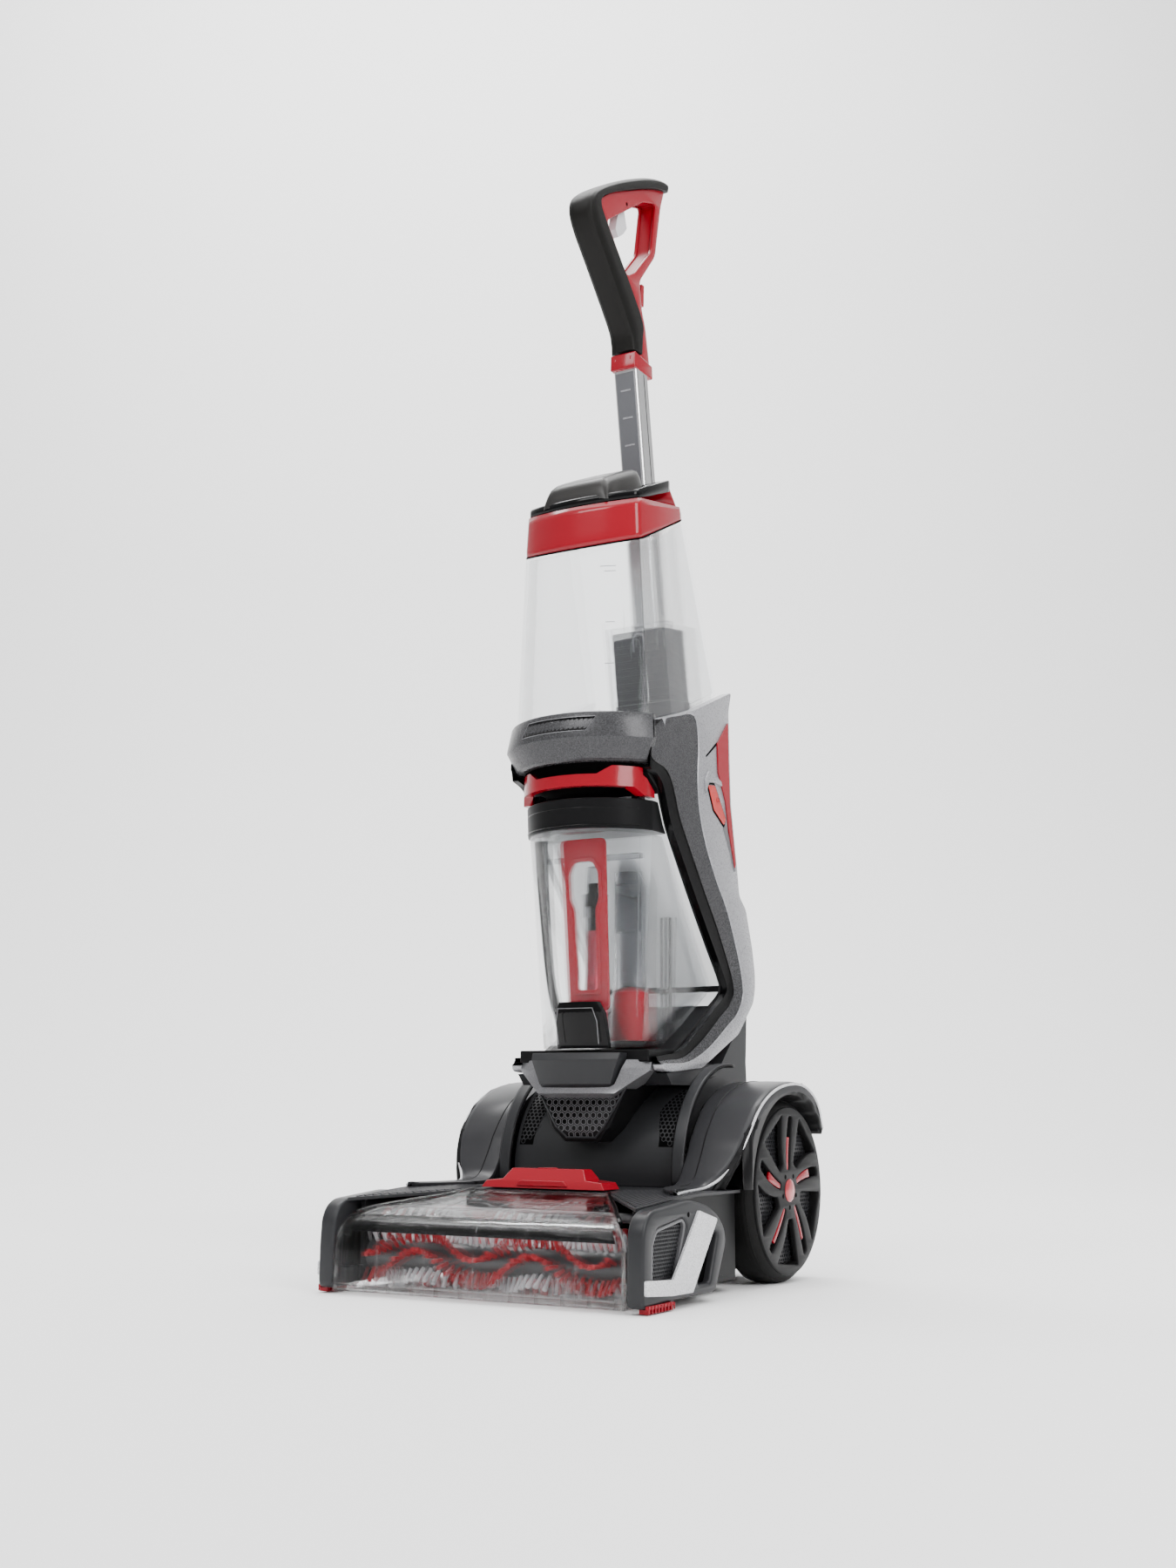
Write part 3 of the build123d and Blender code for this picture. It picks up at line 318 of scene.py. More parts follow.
def finish(name):
    """The material of a finish, made once."""
    made = bpy.data.materials.get(name)
    if made:
        return made
    group_name, colour, values, strength, distance, sockets = FINISHES[name]
    made = bpy.data.materials.new(name)
    made.use_nodes = True
    tree = made.node_tree
    surface = tree.nodes["Principled BSDF"]
    effect = bpy.data.node_groups.get(group_name) or GROUP_MAKERS[group_name]()
    group = node(tree, "ShaderNodeGroup", node_tree=effect)
    colour = colour_of(colour) if isinstance(colour, str) else colour
    group.inputs["Colour"].default_value = (*colour, 1)
    for label, value in values.items():
        group.inputs[label].default_value = value
    bump = node(tree, "ShaderNodeBump", [("Height", group.outputs["Height"])])
    bump.inputs["Strength"].default_value = strength
    bump.inputs["Distance"].default_value = distance
    tree.links.new(group.outputs["Colour"], surface.inputs["Base Color"])
    tree.links.new(group.outputs["Roughness"], surface.inputs["Roughness"])
    tree.links.new(bump.outputs[0], surface.inputs["Normal"])
    for label, value in sockets.items():
        surface.inputs[label].default_value = value
    return made


# ---------------------------------------------------------------- shape helpers
def rounded(points, radius, steps=4):
    """A closed outline with its corners rounded."""
    made = []
    for i, here in enumerate(points):
        before, here, after = Vector(points[i - 1]), Vector(here), Vector(points[(i + 1) % len(points)])
        back, on = before - here, after - here
        reach = min(radius, 0.45 * back.length, 0.45 * on.length)
        a, b = here + back.normalized() * reach, here + on.normalized() * reach
        for k in range(steps + 1):
            t = k / steps
            made.append(tuple(a * (1 - t) ** 2 + here * 2 * t * (1 - t) + b * t * t))
    return made


def curved(points, steps):
    """A smooth line through points of any dimension, in steps between each two of them."""
    count = len(points)
    made = []
    for i in range(count - 1):
        p = [Vector(points[min(max(i + k, 0), count - 1)]) for k in (-1, 0, 1, 2)]
        for k in range(steps):
            t = k / steps
            made.append(tuple(
                0.5 * (2 * p[1] + (p[2] - p[0]) * t + (2 * p[0] - 5 * p[1] + 4 * p[2] - p[3]) * t * t
                       + (3 * p[1] - p[0] - 3 * p[2] + p[3]) * t ** 3)
            ))
    made.append(tuple(Vector(points[-1])))
    return made


def placed(name, data):
    """A new object in the scene."""
    obj = bpy.data.objects.new(name, data)
    bpy.context.scene.collection.objects.link(obj)
    return obj


def cleaned(mesh):
    """Join doubled points and turn every face outwards."""
    work = bmesh.new()
    work.from_mesh(mesh)
    bmesh.ops.remove_doubles(work, verts=work.verts, dist=JOIN_WITHIN)
    bmesh.ops.recalc_face_normals(work, faces=work.faces)
    work.to_mesh(mesh)
    work.free()


def add_line(curve, points, closed):
    """Add a line of straight steps through points in millimetres to a curve."""
    spline = curve.splines.new("POLY")
    spline.points.add(len(points) - 1)
    spline.points.foreach_set("co", [c for p in points for c in (*(v * MM for v in (*p, 0)[:3]), 1)])
    spline.use_cyclic_u = closed


def mesh_of(curve):
    """The mesh that a curve and its bevel make."""
    holder = placed(curve.name + "_curve", curve)
    bpy.context.view_layer.update()
    made = holder.evaluated_get(bpy.context.evaluated_depsgraph_get())
    mesh = bpy.data.meshes.new_from_object(made)
    bpy.data.objects.remove(holder)
    mesh.name = curve.name
    return mesh


def dress(obj, material, body, slot=None, angle=32, bevel=0.0):
    """Finish a new piece: shading, edge rounding, material and body; its slot argument is not used."""
    mesh = obj.data
    mesh.materials.clear()
    for name in [material] if isinstance(material, str) else material:
        mesh.materials.append(finish(name))
    mesh.polygons.foreach_set("use_smooth", [True] * len(mesh.polygons))
    mesh.set_sharp_from_angle(angle=math.radians(angle))
    if bevel:
        soften(obj, bevel)
    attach(obj, body)
    return obj


def soften(obj, width, segments=3, angle=28):
    """Round an object's sharp edges without touching its mesh."""
    bevel = obj.modifiers.new("edge", "BEVEL")
    bevel.width = width * MM * bpy.context.scene.washer_sizes.edge_round
    bevel.segments = segments
    bevel.limit_method = "ANGLE"
    bevel.angle_limit = math.radians(angle)
    bevel.harden_normals = True
    bevel.miter_outer = "MITER_ARC"


def solid(name, points, faces, material, body, slot=None, angle=32, bevel=0.0, thickness=0.0, groups=None):
    """A mesh piece from points in millimetres and faces; groups give each face's material number."""
    mesh = bpy.data.meshes.new(name)
    mesh.from_pydata([tuple(c * MM for c in p) for p in points], [], faces)
    if groups:
        mesh.polygons.foreach_set("material_index", groups)
    cleaned(mesh)
    kept = [face.material_index for face in mesh.polygons]
    obj = placed(name, mesh)
    if thickness:
        shell = obj.modifiers.new("wall", "SOLIDIFY")
        shell.thickness = thickness * MM
        shell.offset = -1
    dress(obj, material, body, slot, angle, bevel)
    mesh.polygons.foreach_set("material_index", kept)
    return obj


def plate(name, outlines, facing, low, high, material, body, slot=None, edge=0.6, angle=32):
    """A flat piece with rounded edges; the first outline is its rim and the rest are holes."""
    curve = bpy.data.curves.new(name, "CURVE")
    curve.dimensions, curve.fill_mode = "2D", "BOTH"
    for outline in outlines:
        add_line(curve, outline, True)
    curve.extrude = ((high - low) / 2 - edge) * MM
    curve.bevel_depth, curve.offset, curve.bevel_resolution = edge * MM, -edge * MM, 2
    mesh = mesh_of(curve)
    centre = (low + high) / 2 * MM
    mesh.transform(FACING[facing] @ Matrix.Translation((0, 0, -centre if facing == "y" else centre)))
    cleaned(mesh)
    return dress(placed(name, mesh), material, body, slot, angle)


def wire(name, lines, radius, material, body, slot=None, closed=False):
    """Round bars along lines of points."""
    curve = bpy.data.curves.new(name, "CURVE")
    curve.dimensions = "3D"
    for line in lines:
        add_line(curve, line, closed)
    curve.bevel_depth, curve.bevel_resolution, curve.use_fill_caps = radius * MM, 2, True
    return dress(placed(name, mesh_of(curve)), material, body, slot)


def rows(lines, closed_lines=False):
    """Points and quad faces of a sheet through equal lists of points."""
    width = len(lines[0])
    points = [p for line in lines for p in line]
    faces = []
    for i in range(len(lines) - 1):
        for j in range(width if closed_lines else width - 1):
            a, b = i * width, (i + 1) * width
            k = (j + 1) % width
            faces.append((a + j, a + k, b + k, b + j))
    return points, faces


def sheet(name, lines, material, body, slot=None, angle=32, thickness=0.0, closed_lines=False, groups=None):
    """A piece through equal lists of points, with its wall thickness when it has one."""
    points, faces = rows(lines, closed_lines)
    return solid(name, points, faces, material, body, slot, angle, 0, thickness, groups)


def disc(place, radius, count=12):
    """Points round a flat disc; place(a, b) puts a point of it in space."""
    turns = [2 * math.pi * k / count for k in range(count)]
    return [place(radius * math.cos(a), radius * math.sin(a)) for a in turns]


def honeycomb(inside, place, pitch, bar, depth, low, high, joined=True):
    """Points and faces of hexagonal rings; inside(u, v) keeps a cell and place(u, v, d) puts it in space."""
    points, faces = [], []
    outer = pitch / math.sqrt(3) if joined else pitch / math.sqrt(3) * 0.86
    inner = outer - bar
    row_step = pitch * math.sqrt(3) / 2
    for row in range(math.floor(low[1] / row_step), math.ceil(high[1] / row_step) + 1):
        for column in range(math.floor(low[0] / pitch) - 1, math.ceil(high[0] / pitch) + 1):
            u, v = (column + 0.5 * (row % 2)) * pitch, row * row_step
            if not inside(u, v):
                continue
            base = len(points)
            for radius, d in ((outer, -depth), (outer, 0), (inner, 0), (inner, -depth)):
                for k in range(6):
                    angle = math.radians(60 * k + 30)
                    points.append(place(u + radius * math.cos(angle), v + radius * math.sin(angle), d))
            for ring in range(3):
                for k in range(6):
                    a, b = base + ring * 6, base + ring * 6 + 6
                    faces.append((a + k, a + (k + 1) % 6, b + (k + 1) % 6, b + k))
    return points, faces


def within(outline):
    """A test of whether a point is inside a closed outline."""
    def test(u, v):
        odd = False
        for (x1, y1), (x2, y2) in zip(outline, outline[1:] + outline[:1]):
            if (y1 > v) != (y2 > v) and u < (x2 - x1) * (v - y1) / (y2 - y1) + x1:
                odd = not odd
        return odd
    return test


def shrunk(points, distance):
    """Move every side of a closed outline inwards."""
    area = sum(a[0] * b[1] - b[0] * a[1] for a, b in zip(points, points[1:] + points[:1]))
    turn = 1.0 if area > 0 else -1.0
    moved = []
    for i, here in enumerate(points):
        d1 = (Vector(here) - Vector(points[i - 1])).normalized()
        d2 = (Vector(points[(i + 1) % len(points)]) - Vector(here)).normalized()
        n1, n2 = Vector((-turn * d1.y, turn * d1.x)), Vector((-turn * d2.y, turn * d2.x))
        moved.append(tuple(Vector(here) + (n1 + n2) * (distance / max(0.25, 1 + n1.dot(n2)))))
    return moved


def bowed(half, nose, flank, x):
    """Y of a bowed front at x, for an arc through its nose and its two flanks."""
    sag = flank - nose
    radius = (half * half + sag * sag) / (2 * sag)
    return nose + radius - math.sqrt(radius * radius - x * x)


def tube_y(z):
    """Y of the handle tube's centre line."""
    return 92.5 + LEAN * (790.0 - z)


def polar(centre, radius, degrees_up):
    """The (y, z) point at an angle above the forward direction."""
    angle = math.radians(degrees_up)
    return centre[0] - radius * math.cos(angle), centre[1] + radius * math.sin(angle)


# node: (finish, edge rounding in millimetres)
CARRIED = {
    "foot_chassis": ("dark_satin", 0.4), "foot_deck": ("charcoal", 0.4), "barrel_shell": ("charcoal", 0),
    "side_trims": ("bright_silver", 0.4), "edge_brushes": ("red_satin", 0.4),
    "wheel_axles": ("plated_steel", 0.4),
    "arch_right": ("dark_satin", 0), "arch_left": ("dark_satin", 0), "brush_motor": ("dark_satin", 0.6),
    "suction_duct": ("dark_satin", 0.4), "drive_belt": ("tyre", 0), "belt_cover": ("dark_satin", 0.8),
    "spray_bar": ("inner_grey", 0.3), "foot_screws": ("plated_steel", 0.3),
    "nozzle_latch": ("red_gloss", 1.0),
    "tyre_right": ("tyre", 0), "tyre_left": ("tyre", 0),
    "brush_core_front": ("core_satin", 0.4), "brush_core_rear": ("core_satin", 0.4),
    "motor_pulley": ("plated_steel", 0.2),
    "lower_housing": ("charcoal", 1.2), "vent_cover": ("dark_satin", 1.0),
    "lower_front_trim": ("charcoal", 1.0),
    "body_spine": ("dark_satin", 1.2), "chin_band": ("silver_line", 0.8),
    "power_button": ("orange_gloss", 0.4),
    "accents": ("red_gloss", 0.4), "tank_deck": ("dark_satin", 0.6), "tube_socket": ("inner_grey", 2.5),
    "handle_tube": ("aluminium", 0), "cable_rail": ("aluminium", 0.5), "trigger": ("trigger_grey", 0.8),
    "cord_hook_upper": ("red_satin", 0.8), "cord_hook_lower": ("dark_satin", 0.8),
    "vacuum_motor": ("dark_satin", 0.8), "water_pump": ("dark_satin", 0.8),
    "clean_tank": ("tank_clear", 0.8), "dirty_tank": ("tank_clear", 0.8), "dirty_lid": ("dark_satin", 1.0),
    "inlet_stack": ("smoke_clear", 0), "badge_plate": ("gloss_black", 1.0),
    "carry_handle": ("red_gloss", 1.2),
}


def carried_node(name, material, rounding):
    """Give a CAD node its finish and soft edges; its own mesh stays as it is."""
    obj = NODES[name]
    mesh = obj.data
    mesh.materials.clear()
    mesh.materials.append(finish(material))
    if "custom_normal" in mesh.attributes:
        mesh.attributes.remove(mesh.attributes["custom_normal"])
    mesh.polygons.foreach_set("use_smooth", [True] * len(mesh.polygons))
    weld = obj.modifiers.new("weld", "WELD")
    weld.merge_threshold = 1e-5
    if rounding:
        soften(obj, rounding, 2, 30)
    weighted = obj.modifiers.new("normals", "WEIGHTED_NORMAL")
    weighted.keep_sharp = True


# ---------------------------------------------------------------- pieces
class CarriedFinishes(bpy.types.Operator):
    """Give every CAD part that stays in view its finish"""

    bl_idname = "washer.carried_finishes"
    bl_label = "Finishes of the CAD parts"

    def execute(self, context):
        for name, (material, rounding) in CARRIED.items():
            carried_node(name, material, rounding)
        return {"FINISHED"}


GRIP_OUTER = [(56, 916), (53, 928), (45, 940), (15, 972), (-5, 993), (-24, 1013), (-33, 1031), (-27, 1049),
              (0, 1071), (40, 1097), (85, 1122), (114, 1134.5), (130, 1138.6), (136.5, 1138.4)]
GRIP_INNER = [(73, 916), (74.5, 935), (74, 952), (50, 979), (20, 1007), (-6, 1033), (-12, 1041), (-11, 1050),
              (8, 1065), (47, 1088), (88, 1110), (111, 1120.5), (126, 1126), (133.5, 1127.5)]
CORE_OUTLINE = [(73, 914), (75, 950), (70, 961), (30, 997), (-9, 1036), (-13, 1048), (14, 1070), (80, 1106),
                (108, 1120), (131, 1129), (122, 1106), (109, 1042), (74, 998), (79, 970), (87, 953),
                (97, 909), (97, 899), (58, 899), (57, 914)]
CORE_LOOP = [(5, 1034), (82, 1092), (111, 1104), (100, 1044), (64, 1004), (47, 993)]
GRIP_HALF = 15


class HandleLoop(bpy.types.Operator):
    """The soft black grip on the red loop of the handle"""

    bl_idname = "washer.handle_loop"
    bl_label = "Handle grip and loop"

    def execute(self, context):
        outer, inner = curved(GRIP_OUTER, 5), curved(GRIP_INNER, 5)
        profile = [(0, -1), (0.45, -1), (0.7, -0.97), (0.88, -0.84), (0.98, -0.6), (1, -0.3), (1, 0.3),
                   (0.98, 0.6), (0.88, 0.84), (0.7, 0.97), (0.45, 1), (0, 1)]
        rings = []
        for k, (o, i) in enumerate(zip(outer, inner)):
            left = len(outer) - 1 - k
            half = GRIP_HALF * (1 - 0.12 * max(0, 1 - left / 4) ** 2)
            rings.append([(half * w, i[0] + (o[0] - i[0]) * s, i[1] + (o[1] - i[1]) * s) for s, w in profile])
        points, faces = rows(rings, True)
        count = len(profile)
        faces += [tuple(range(count)), tuple(range(len(points) - count, len(points)))]
        grip = solid("soft_grip_cover", points, faces, "grip_rubber", "upright", "soft_grip", 50, 0.8)
        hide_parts("handle_grip")
        for label, low, high in (("right", 7.5, 11), ("left", -11, -7.5)):
            flange = plate(f"handle_loop_{label}", [rounded(CORE_OUTLINE, 7), rounded(CORE_LOOP, 6)], "x",
                           low, high, "red_gloss", "upright", "red_plastic", 1.0)
        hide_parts("handle_core")
        plate("handle_loop_web",
              [rounded(shrunk(CORE_OUTLINE, 1.6), 6), rounded(shrunk(CORE_LOOP, -1.6), 6)], "x", -7.8, 7.8,
              "red_satin", "upright", "red_plastic", 0.4)
        plate("handle_ferrule", [rounded([(57, 897.5), (97, 897.5), (96, 912), (58, 915)], 2)], "x", -14.4,
              14.4, "red_gloss", "upright", "red_plastic", 1.5)
        return {"FINISHED"}


def tube_block(name, x, depth, z, material, edge, slot=None):
    """A block that follows the tube's lean; depth is measured behind its centre line."""
    points = [(px, tube_y(pz) + d * 1.013, pz) for pz in z for px, d in
              ((x[0], depth[0]), (x[1], depth[0]), (x[1], depth[1]), (x[0], depth[1]))]
    return solid(name, points, BOX_FACES, material, "upright", slot, 32, edge)


class TubeTrim(bpy.types.Operator):
    """The blank label panel and the red clip on the handle tube"""

    bl_idname = "washer.tube_trim"
    bl_label = "Tube panel and clip"

    def execute(self, context):
        tube_block("tube_label_panel", (-10.4, 10.4), (-13.9, -13.3), (738, 895), "label_grey", 0.25)
        for k, z in enumerate((764, 792, 820, 848, 876)):
            tube_block(f"tube_label_bar_{k}", (-5.5, 5.5), (-14.1, -13.7), (z, z + 1.6), "silver", 0.1)
        tube_block("tube_clip", (-8, 8), (13.7, 21), (877, 883), "red_satin", 0.6, "red_plastic")
        for k, side in enumerate((-1, 1)):
            tube_block(f"tube_side_groove_{k}", (side * 13.35, side * 13.62), (2, 3.2), (650, 896),
                       "dark_satin", 0.05)
        return {"FINISHED"}


# Clean tank stations: z, half width, nose y, flank y
WATER_WALL = ((500, 72, -49, -20), (672, 63.5, -43, -22), (790, 57.5, -38, -20))


def water_wall(z):
    """Half width, nose y and flank y of the clean tank at a height."""
    low, high = WATER_WALL[:2] if z < WATER_WALL[1][0] else WATER_WALL[1:]
    t = (z - low[0]) / (high[0] - low[0])
    return tuple(a + (b - a) * t for a, b in zip(low[1:], high[1:]))


def along(line, at):
    """Value of a broken line of (place, value) pairs."""
    for (a, low), (b, high) in zip(line, line[1:]):
        if at <= b:
            return low + (high - low) * (max(at, a) - a) / (b - a)
    return line[-1][1]


def tank_plan(z, grow, rear):
    """Plan outline of the clean tank at a height, from its left rear round the front to its right rear."""
    half, nose, flank = water_wall(z)
    half, nose, flank = half + grow, nose - grow, flank - grow * 0.7
    arc = [(half * k / 8, bowed(half, nose, flank, half * k / 8)) for k in range(-8, 9)]
    corner_steps = 3
    made = rounded([(-half, rear)] + arc + [(half, rear)], 9, corner_steps)
    return made[corner_steps - 1:-1]


def at_height(number, z, grow, rear):
    """One point of the tank's plan outline, at any height of its band and lid."""
    foot, top = 680, 770
    low, high = tank_plan(foot, grow, rear)[number], tank_plan(top, grow, rear)[number]
    t = (z - foot) / (top - foot)
    return low[0] + (high[0] - low[0]) * t, low[1] + (high[1] - low[1]) * t


# Side lines of the red band's two edges and of the lid's rim as (y, z)
BAND_LOW = ((-60, 668.2), (20, 697.2), (73, 731.2))
BAND_HIGH = ((-60, 712), (8, 731), (51, 754), (73, 731.3))
LID_RIM = ((-60, 721), (-20, 732.5), (46, 763.5), (51, 758))
BAND_PROUD, BAND_REAR, LID_REAR = 1.1, 73, 50
# Lid rings from its foot over the rim to its middle: growth past the tank's plan, lift, and the line followed
LID_RINGS = ((0.4, 0.2, BAND_HIGH), (0.4, -2.5, LID_RIM), (-0.6, -0.6, LID_RIM), (-2.2, 0, LID_RIM),
             (-6, 0.2, LID_RIM), (-7.6, -0.8, LID_RIM), (-8.6, -4.5, LID_RIM), (-30, -5, LID_RIM))
# Stations of the grip on the lid: y, foot z, top z, half width
LID_GRIP = ((-37, 722, 723.5, 33), (-36, 722, 733, 35), (-33, 723, 742, 36.5), (-27, 725, 748.5, 37),
            (-12, 729, 756.5, 37), (8, 737, 766, 37), (26, 745, 774, 36), (37, 750, 777.5, 34),
            (44, 753, 776, 31), (48.5, 755, 768, 28), (49.5, 757, 758.5, 26))
# One side of that grip's section: width as a part of its half width, height as a part of its height
GRIP_SECTION = ((1, 0), (0.965, 0.35), (0.90, 0.66), (0.82, 0.88), (0.70, 0.98), (0.5, 1))


class WaterTankTrim(bpy.types.Operator):
    """Level marks, seam bead and the grip on the lid of the clean water tank"""

    bl_idname = "washer.water_tank_trim"
    bl_label = "Clean tank details"

    def execute(self, context):
        marks = []
        for x0, x1, z in ((30, 44, 655), (34, 44, 650), (36, 44, 600), (36, 44, 560)):
            marks.append([(x, bowed(*water_wall(z), x) - 0.1, z) for x in (x0, (x0 + x1) / 2, x1)])
        wire("level_marks", marks, 0.3, "inner_grey", "water_tank")
        plan_count = len(tank_plan(700, BAND_PROUD, BAND_REAR))
        grid = []
        for k in range(7):
            up = k / 6
            lift, tuck = (0.8, 0.5) if k == 0 else (0, 0)
            ring = []
            for j in range(plan_count):
                here = at_height(j, 700, BAND_PROUD, BAND_REAR)
                z = along(BAND_LOW, here[1]) * (1 - up) + along(BAND_HIGH, here[1]) * up + lift
                ring.append((*at_height(j, z, BAND_PROUD - tuck, BAND_REAR), z))
            grid.append(ring)
        band = sheet("tank_band_skin", grid, "red_gloss", "water_tank", "red_plastic", 40, 1.6)
        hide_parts("tank_band")
        back = [[(x, 72.5, 731.5) for x in (-58, -20, 20, 58)], [(x, 51, 756) for x in (-57, -20, 20, 57)]]
        sheet("tank_band_back", back, "red_gloss", "water_tank", "red_plastic", 40, 1.6)
        edge = [(x, y, z - 0.6) for x, y, z in grid[0]]
        wire("band_seal", [edge], 0.8, "deep_black", "water_tank")
        lid = []
        for grow, lift, line in LID_RINGS:
            ring = []
            for j in range(len(tank_plan(700, 0, LID_REAR))):
                x, y = at_height(j, 735, grow, LID_REAR + min(0, grow))
                ring.append((x, y, along(line, y) + lift))
            lid.append(ring)
        shell = sheet("tank_lid_skin", lid, "gloss_black", "water_tank", "black_plastic", 35, 1.2, True)
        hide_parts("tank_lid")
        rings = []
        for y, low, high, half in curved(LID_GRIP, 4):
            tall = high - low
            ring = [(half * out, y, low + up * tall) for out, up in GRIP_SECTION]
            ring += [(0, y, low + 1.015 * tall)] + [(-x, w, z) for x, w, z in reversed(ring)]
            rings.append(ring)
        # The grip's brownish grey finish is a painted sheen over its dark moulding.
        sheet("lid_grip", rings, "lid_brown", "water_tank", "black_plastic", 50)
        return {"FINISHED"}


class SocketTrim(bpy.types.Operator):
    """Ribs and the wire loop on the socket that holds the handle tube"""

    bl_idname = "washer.socket_trim"
    bl_label = "Tube socket details"

    def execute(self, context):
        half, front, back, corner = 30.2, -27.3, 14, 2.3
        ribs = []
        for k in range(8):
            z = 562 + 7.5 * k
            y = tube_y(z)
            ribs.append([(half, y + back, z), (half, y + front + corner, z), (half - 2.2, y + front, z),
                         (-half + 2.2, y + front, z), (-half, y + front + corner, z), (-half, y + back, z)])
        wire("socket_ribs", ribs, 0.55, "inner_grey", "upright", "black_plastic")
        proud = 28.3
        loop = [(-6, tube_y(610) - proud, 608), (-6, tube_y(618) - proud, 618)]
        for degrees in range(165, 0, -15):
            a = math.radians(degrees)
            loop.append((6 * math.cos(a), tube_y(620) - proud, 619 + 7 * math.sin(a)))
        loop += [(6, tube_y(618) - proud, 618), (6, tube_y(610) - proud, 608)]
        wire("socket_loop", [loop], 1.0, "silver", "upright")
        return {"FINISHED"}


# Collar levels from its lower inner edge over the front to its upper inner edge:
# z, half width, nose y, flank y
COLLAR_LEVELS = ((466.5, 64, -51, -17), (467.2, 68.5, -55.5, -21), (469, 70.6, -57.8, -22.4),
                 (478, 74.8, -62.6, -24.2), (485.5, 78.4, -66.4, -25.8), (487.5, 79.3, -67.2, -26.1),
                 (489.5, 79.3, -67.1, -26), (500, 77.9, -65.2, -24.4), (509.5, 76.6, -62.9, -22.8),
                 (511.4, 75.9, -61.8, -22.2), (512.2, 74.5, -60, -21.2), (511.8, 66, -52, -16),
                 (506, 65, -51, -14))


class CollarTrim(bpy.types.Operator):
    """The blank name panel and the seams of the front collar"""

    bl_idname = "washer.collar_trim"
    bl_label = "Collar panel and seams"

    def execute(self, context):
        rings = []
        for z, half, nose, flank in COLLAR_LEVELS:
            ring = [(-half + 0.6, flank + 7, z), (-half + 0.1, flank + 2.2, z)]
            ring += [(half * k / 20, bowed(half, nose, flank, half * k / 20), z) for k in range(-20, 21)]
            ring += [(half - 0.1, flank + 2.2, z), (half - 0.6, flank + 7, z)]
            rings.append(ring)
        shell = sheet("collar_skin", rings, "dark_flake", "upright", "charcoal_plastic", 24, 1.2)
        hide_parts("front_collar")

        def face(x, z, proud):
            """A point of the collar's front between its two bulges."""
            t = (z - 489.5) / 20
            return x, bowed(79.3 - 2.7 * t, -67.1 + 4.2 * t, -26 + 3.2 * t, x) - proud, z

        def lean(k, z):
            """X of the panel from its left end to its right end; it leans with height."""
            return -44 + 72 * k + (z - 492) * 0.55

        grid = [[face(lean(j / 16, z), z, 0.22) for j in range(17)] for z in (493.5, 500, 506.5)]
        sheet("collar_panel", grid, "gloss_black", "upright", "black_plastic", 40, 0.3)
        rim = [face(lean(j / 16, 493.2), 493.2, 0.3) for j in range(17)]
        rim += [face(lean(1 - j / 16, 506.8), 506.8, 0.3) for j in range(17)]
        wire("collar_panel_rim", [rim], 0.35, "silver_line", "upright", None, True)
        for k, side in enumerate((-1, 1)):
            seam = [(side * 75.6, -20.4, 512.1), (side * 77.8, -22.2, 503), (side * 79.4, -24.6, 489),
                    (side * 70.6, -20.6, 469)]
            wire(f"collar_seam_{k}", [seam], 0.45, "deep_black", "upright")
        return {"FINISHED"}


# Side frame: the opening's edge, the black bezel's edge and the bevel's edge,
# from the lower front round to the top
OPENING = [(-12, 200.5), (5, 202.5), (37, 207.5), (73, 226.5), (110, 250), (130.5, 263), (134, 275),
           (104, 310.5), (74, 346), (47, 379), (20, 413), (5, 445), (-6, 456), (-22, 461), (-22.4, 461.6),
           (-22.8, 462.2)]
BEZEL = [(-11, 197), (6, 198.5), (40, 202), (78, 218.5), (117, 242), (141, 257), (146, 276), (116, 321),
         (86, 357), (60, 389), (34, 422), (19, 452), (4, 465), (-22, 470), (-22, 484), (-20, 498)]
BEVEL = [(-10, 193.5), (6, 195), (43, 197.5), (84, 211), (125, 233), (152, 250), (161, 277), (132, 337),
         (104, 371), (82, 402), (68, 434), (64, 466), (66, 500), (58, 525), (20, 517), (-8, 509)]
FRAME_RIM = [(-5, 511), (60, 532), (141, 566), (134, 545), (136, 490), (138, 450), (143, 425), (151, 387),
             (155, 362), (170, 350), (184, 313), (190, 288), (190, 273), (185, 258), (150, 226), (70, 192),
             (8, 187), (-9, 188.5)]


class SideFrames(bpy.types.Operator):
    """Silver side frames with a grey bevel and a black bezel round the opening"""

    bl_idname = "washer.side_frames"
    bl_label = "Side frames"

    def execute(self, context):
        opening, bezel, bevel = curved(OPENING, 4), curved(BEZEL, 4), curved(BEVEL, 4)
        for name, sign in SIDES:
            low, high = (69, 80) if sign > 0 else (-80, -69)
            face = plate(f"side_frame_{name}", [rounded(FRAME_RIM, 5) + bevel], "x", low, high, "silver",
                         "upright", "silver_paint", 1.2, 25)
            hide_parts(f"frame_{name}")
            under = [(y + 0.5, z + 0.5) for y, z in bevel]
            steps = ((68.1, opening), (74.4, opening), (75.4, bezel), (79.0, bevel), (79.0, under),
                     (68.1, under))
            lines = [[(sign * x, y, z) for y, z in line] for x, line in steps]
            width = len(opening) - 1
            groups = [0] * (2 * width) + [1] * (3 * width)
            finishes = ["gloss_black", "dark_flake"]
            sheet(f"frame_bezel_{name}", lines, finishes, "upright", None, 25, 0, False, groups)
            line = [(sign * 75.6, y, z) for y, z in bezel]
            wire(f"bezel_bead_{name}", [line], 0.5, "gloss_black", "upright")
        return {"FINISHED"}


# The bay's rear wall and floor from top to front, as (y, z)
BAY_LINE = ((6, 442), (21, 411.5), (47, 377.5), (74, 344), (104, 308.5), (132.8, 274.8), (129.5, 264.5),
            (109, 252))


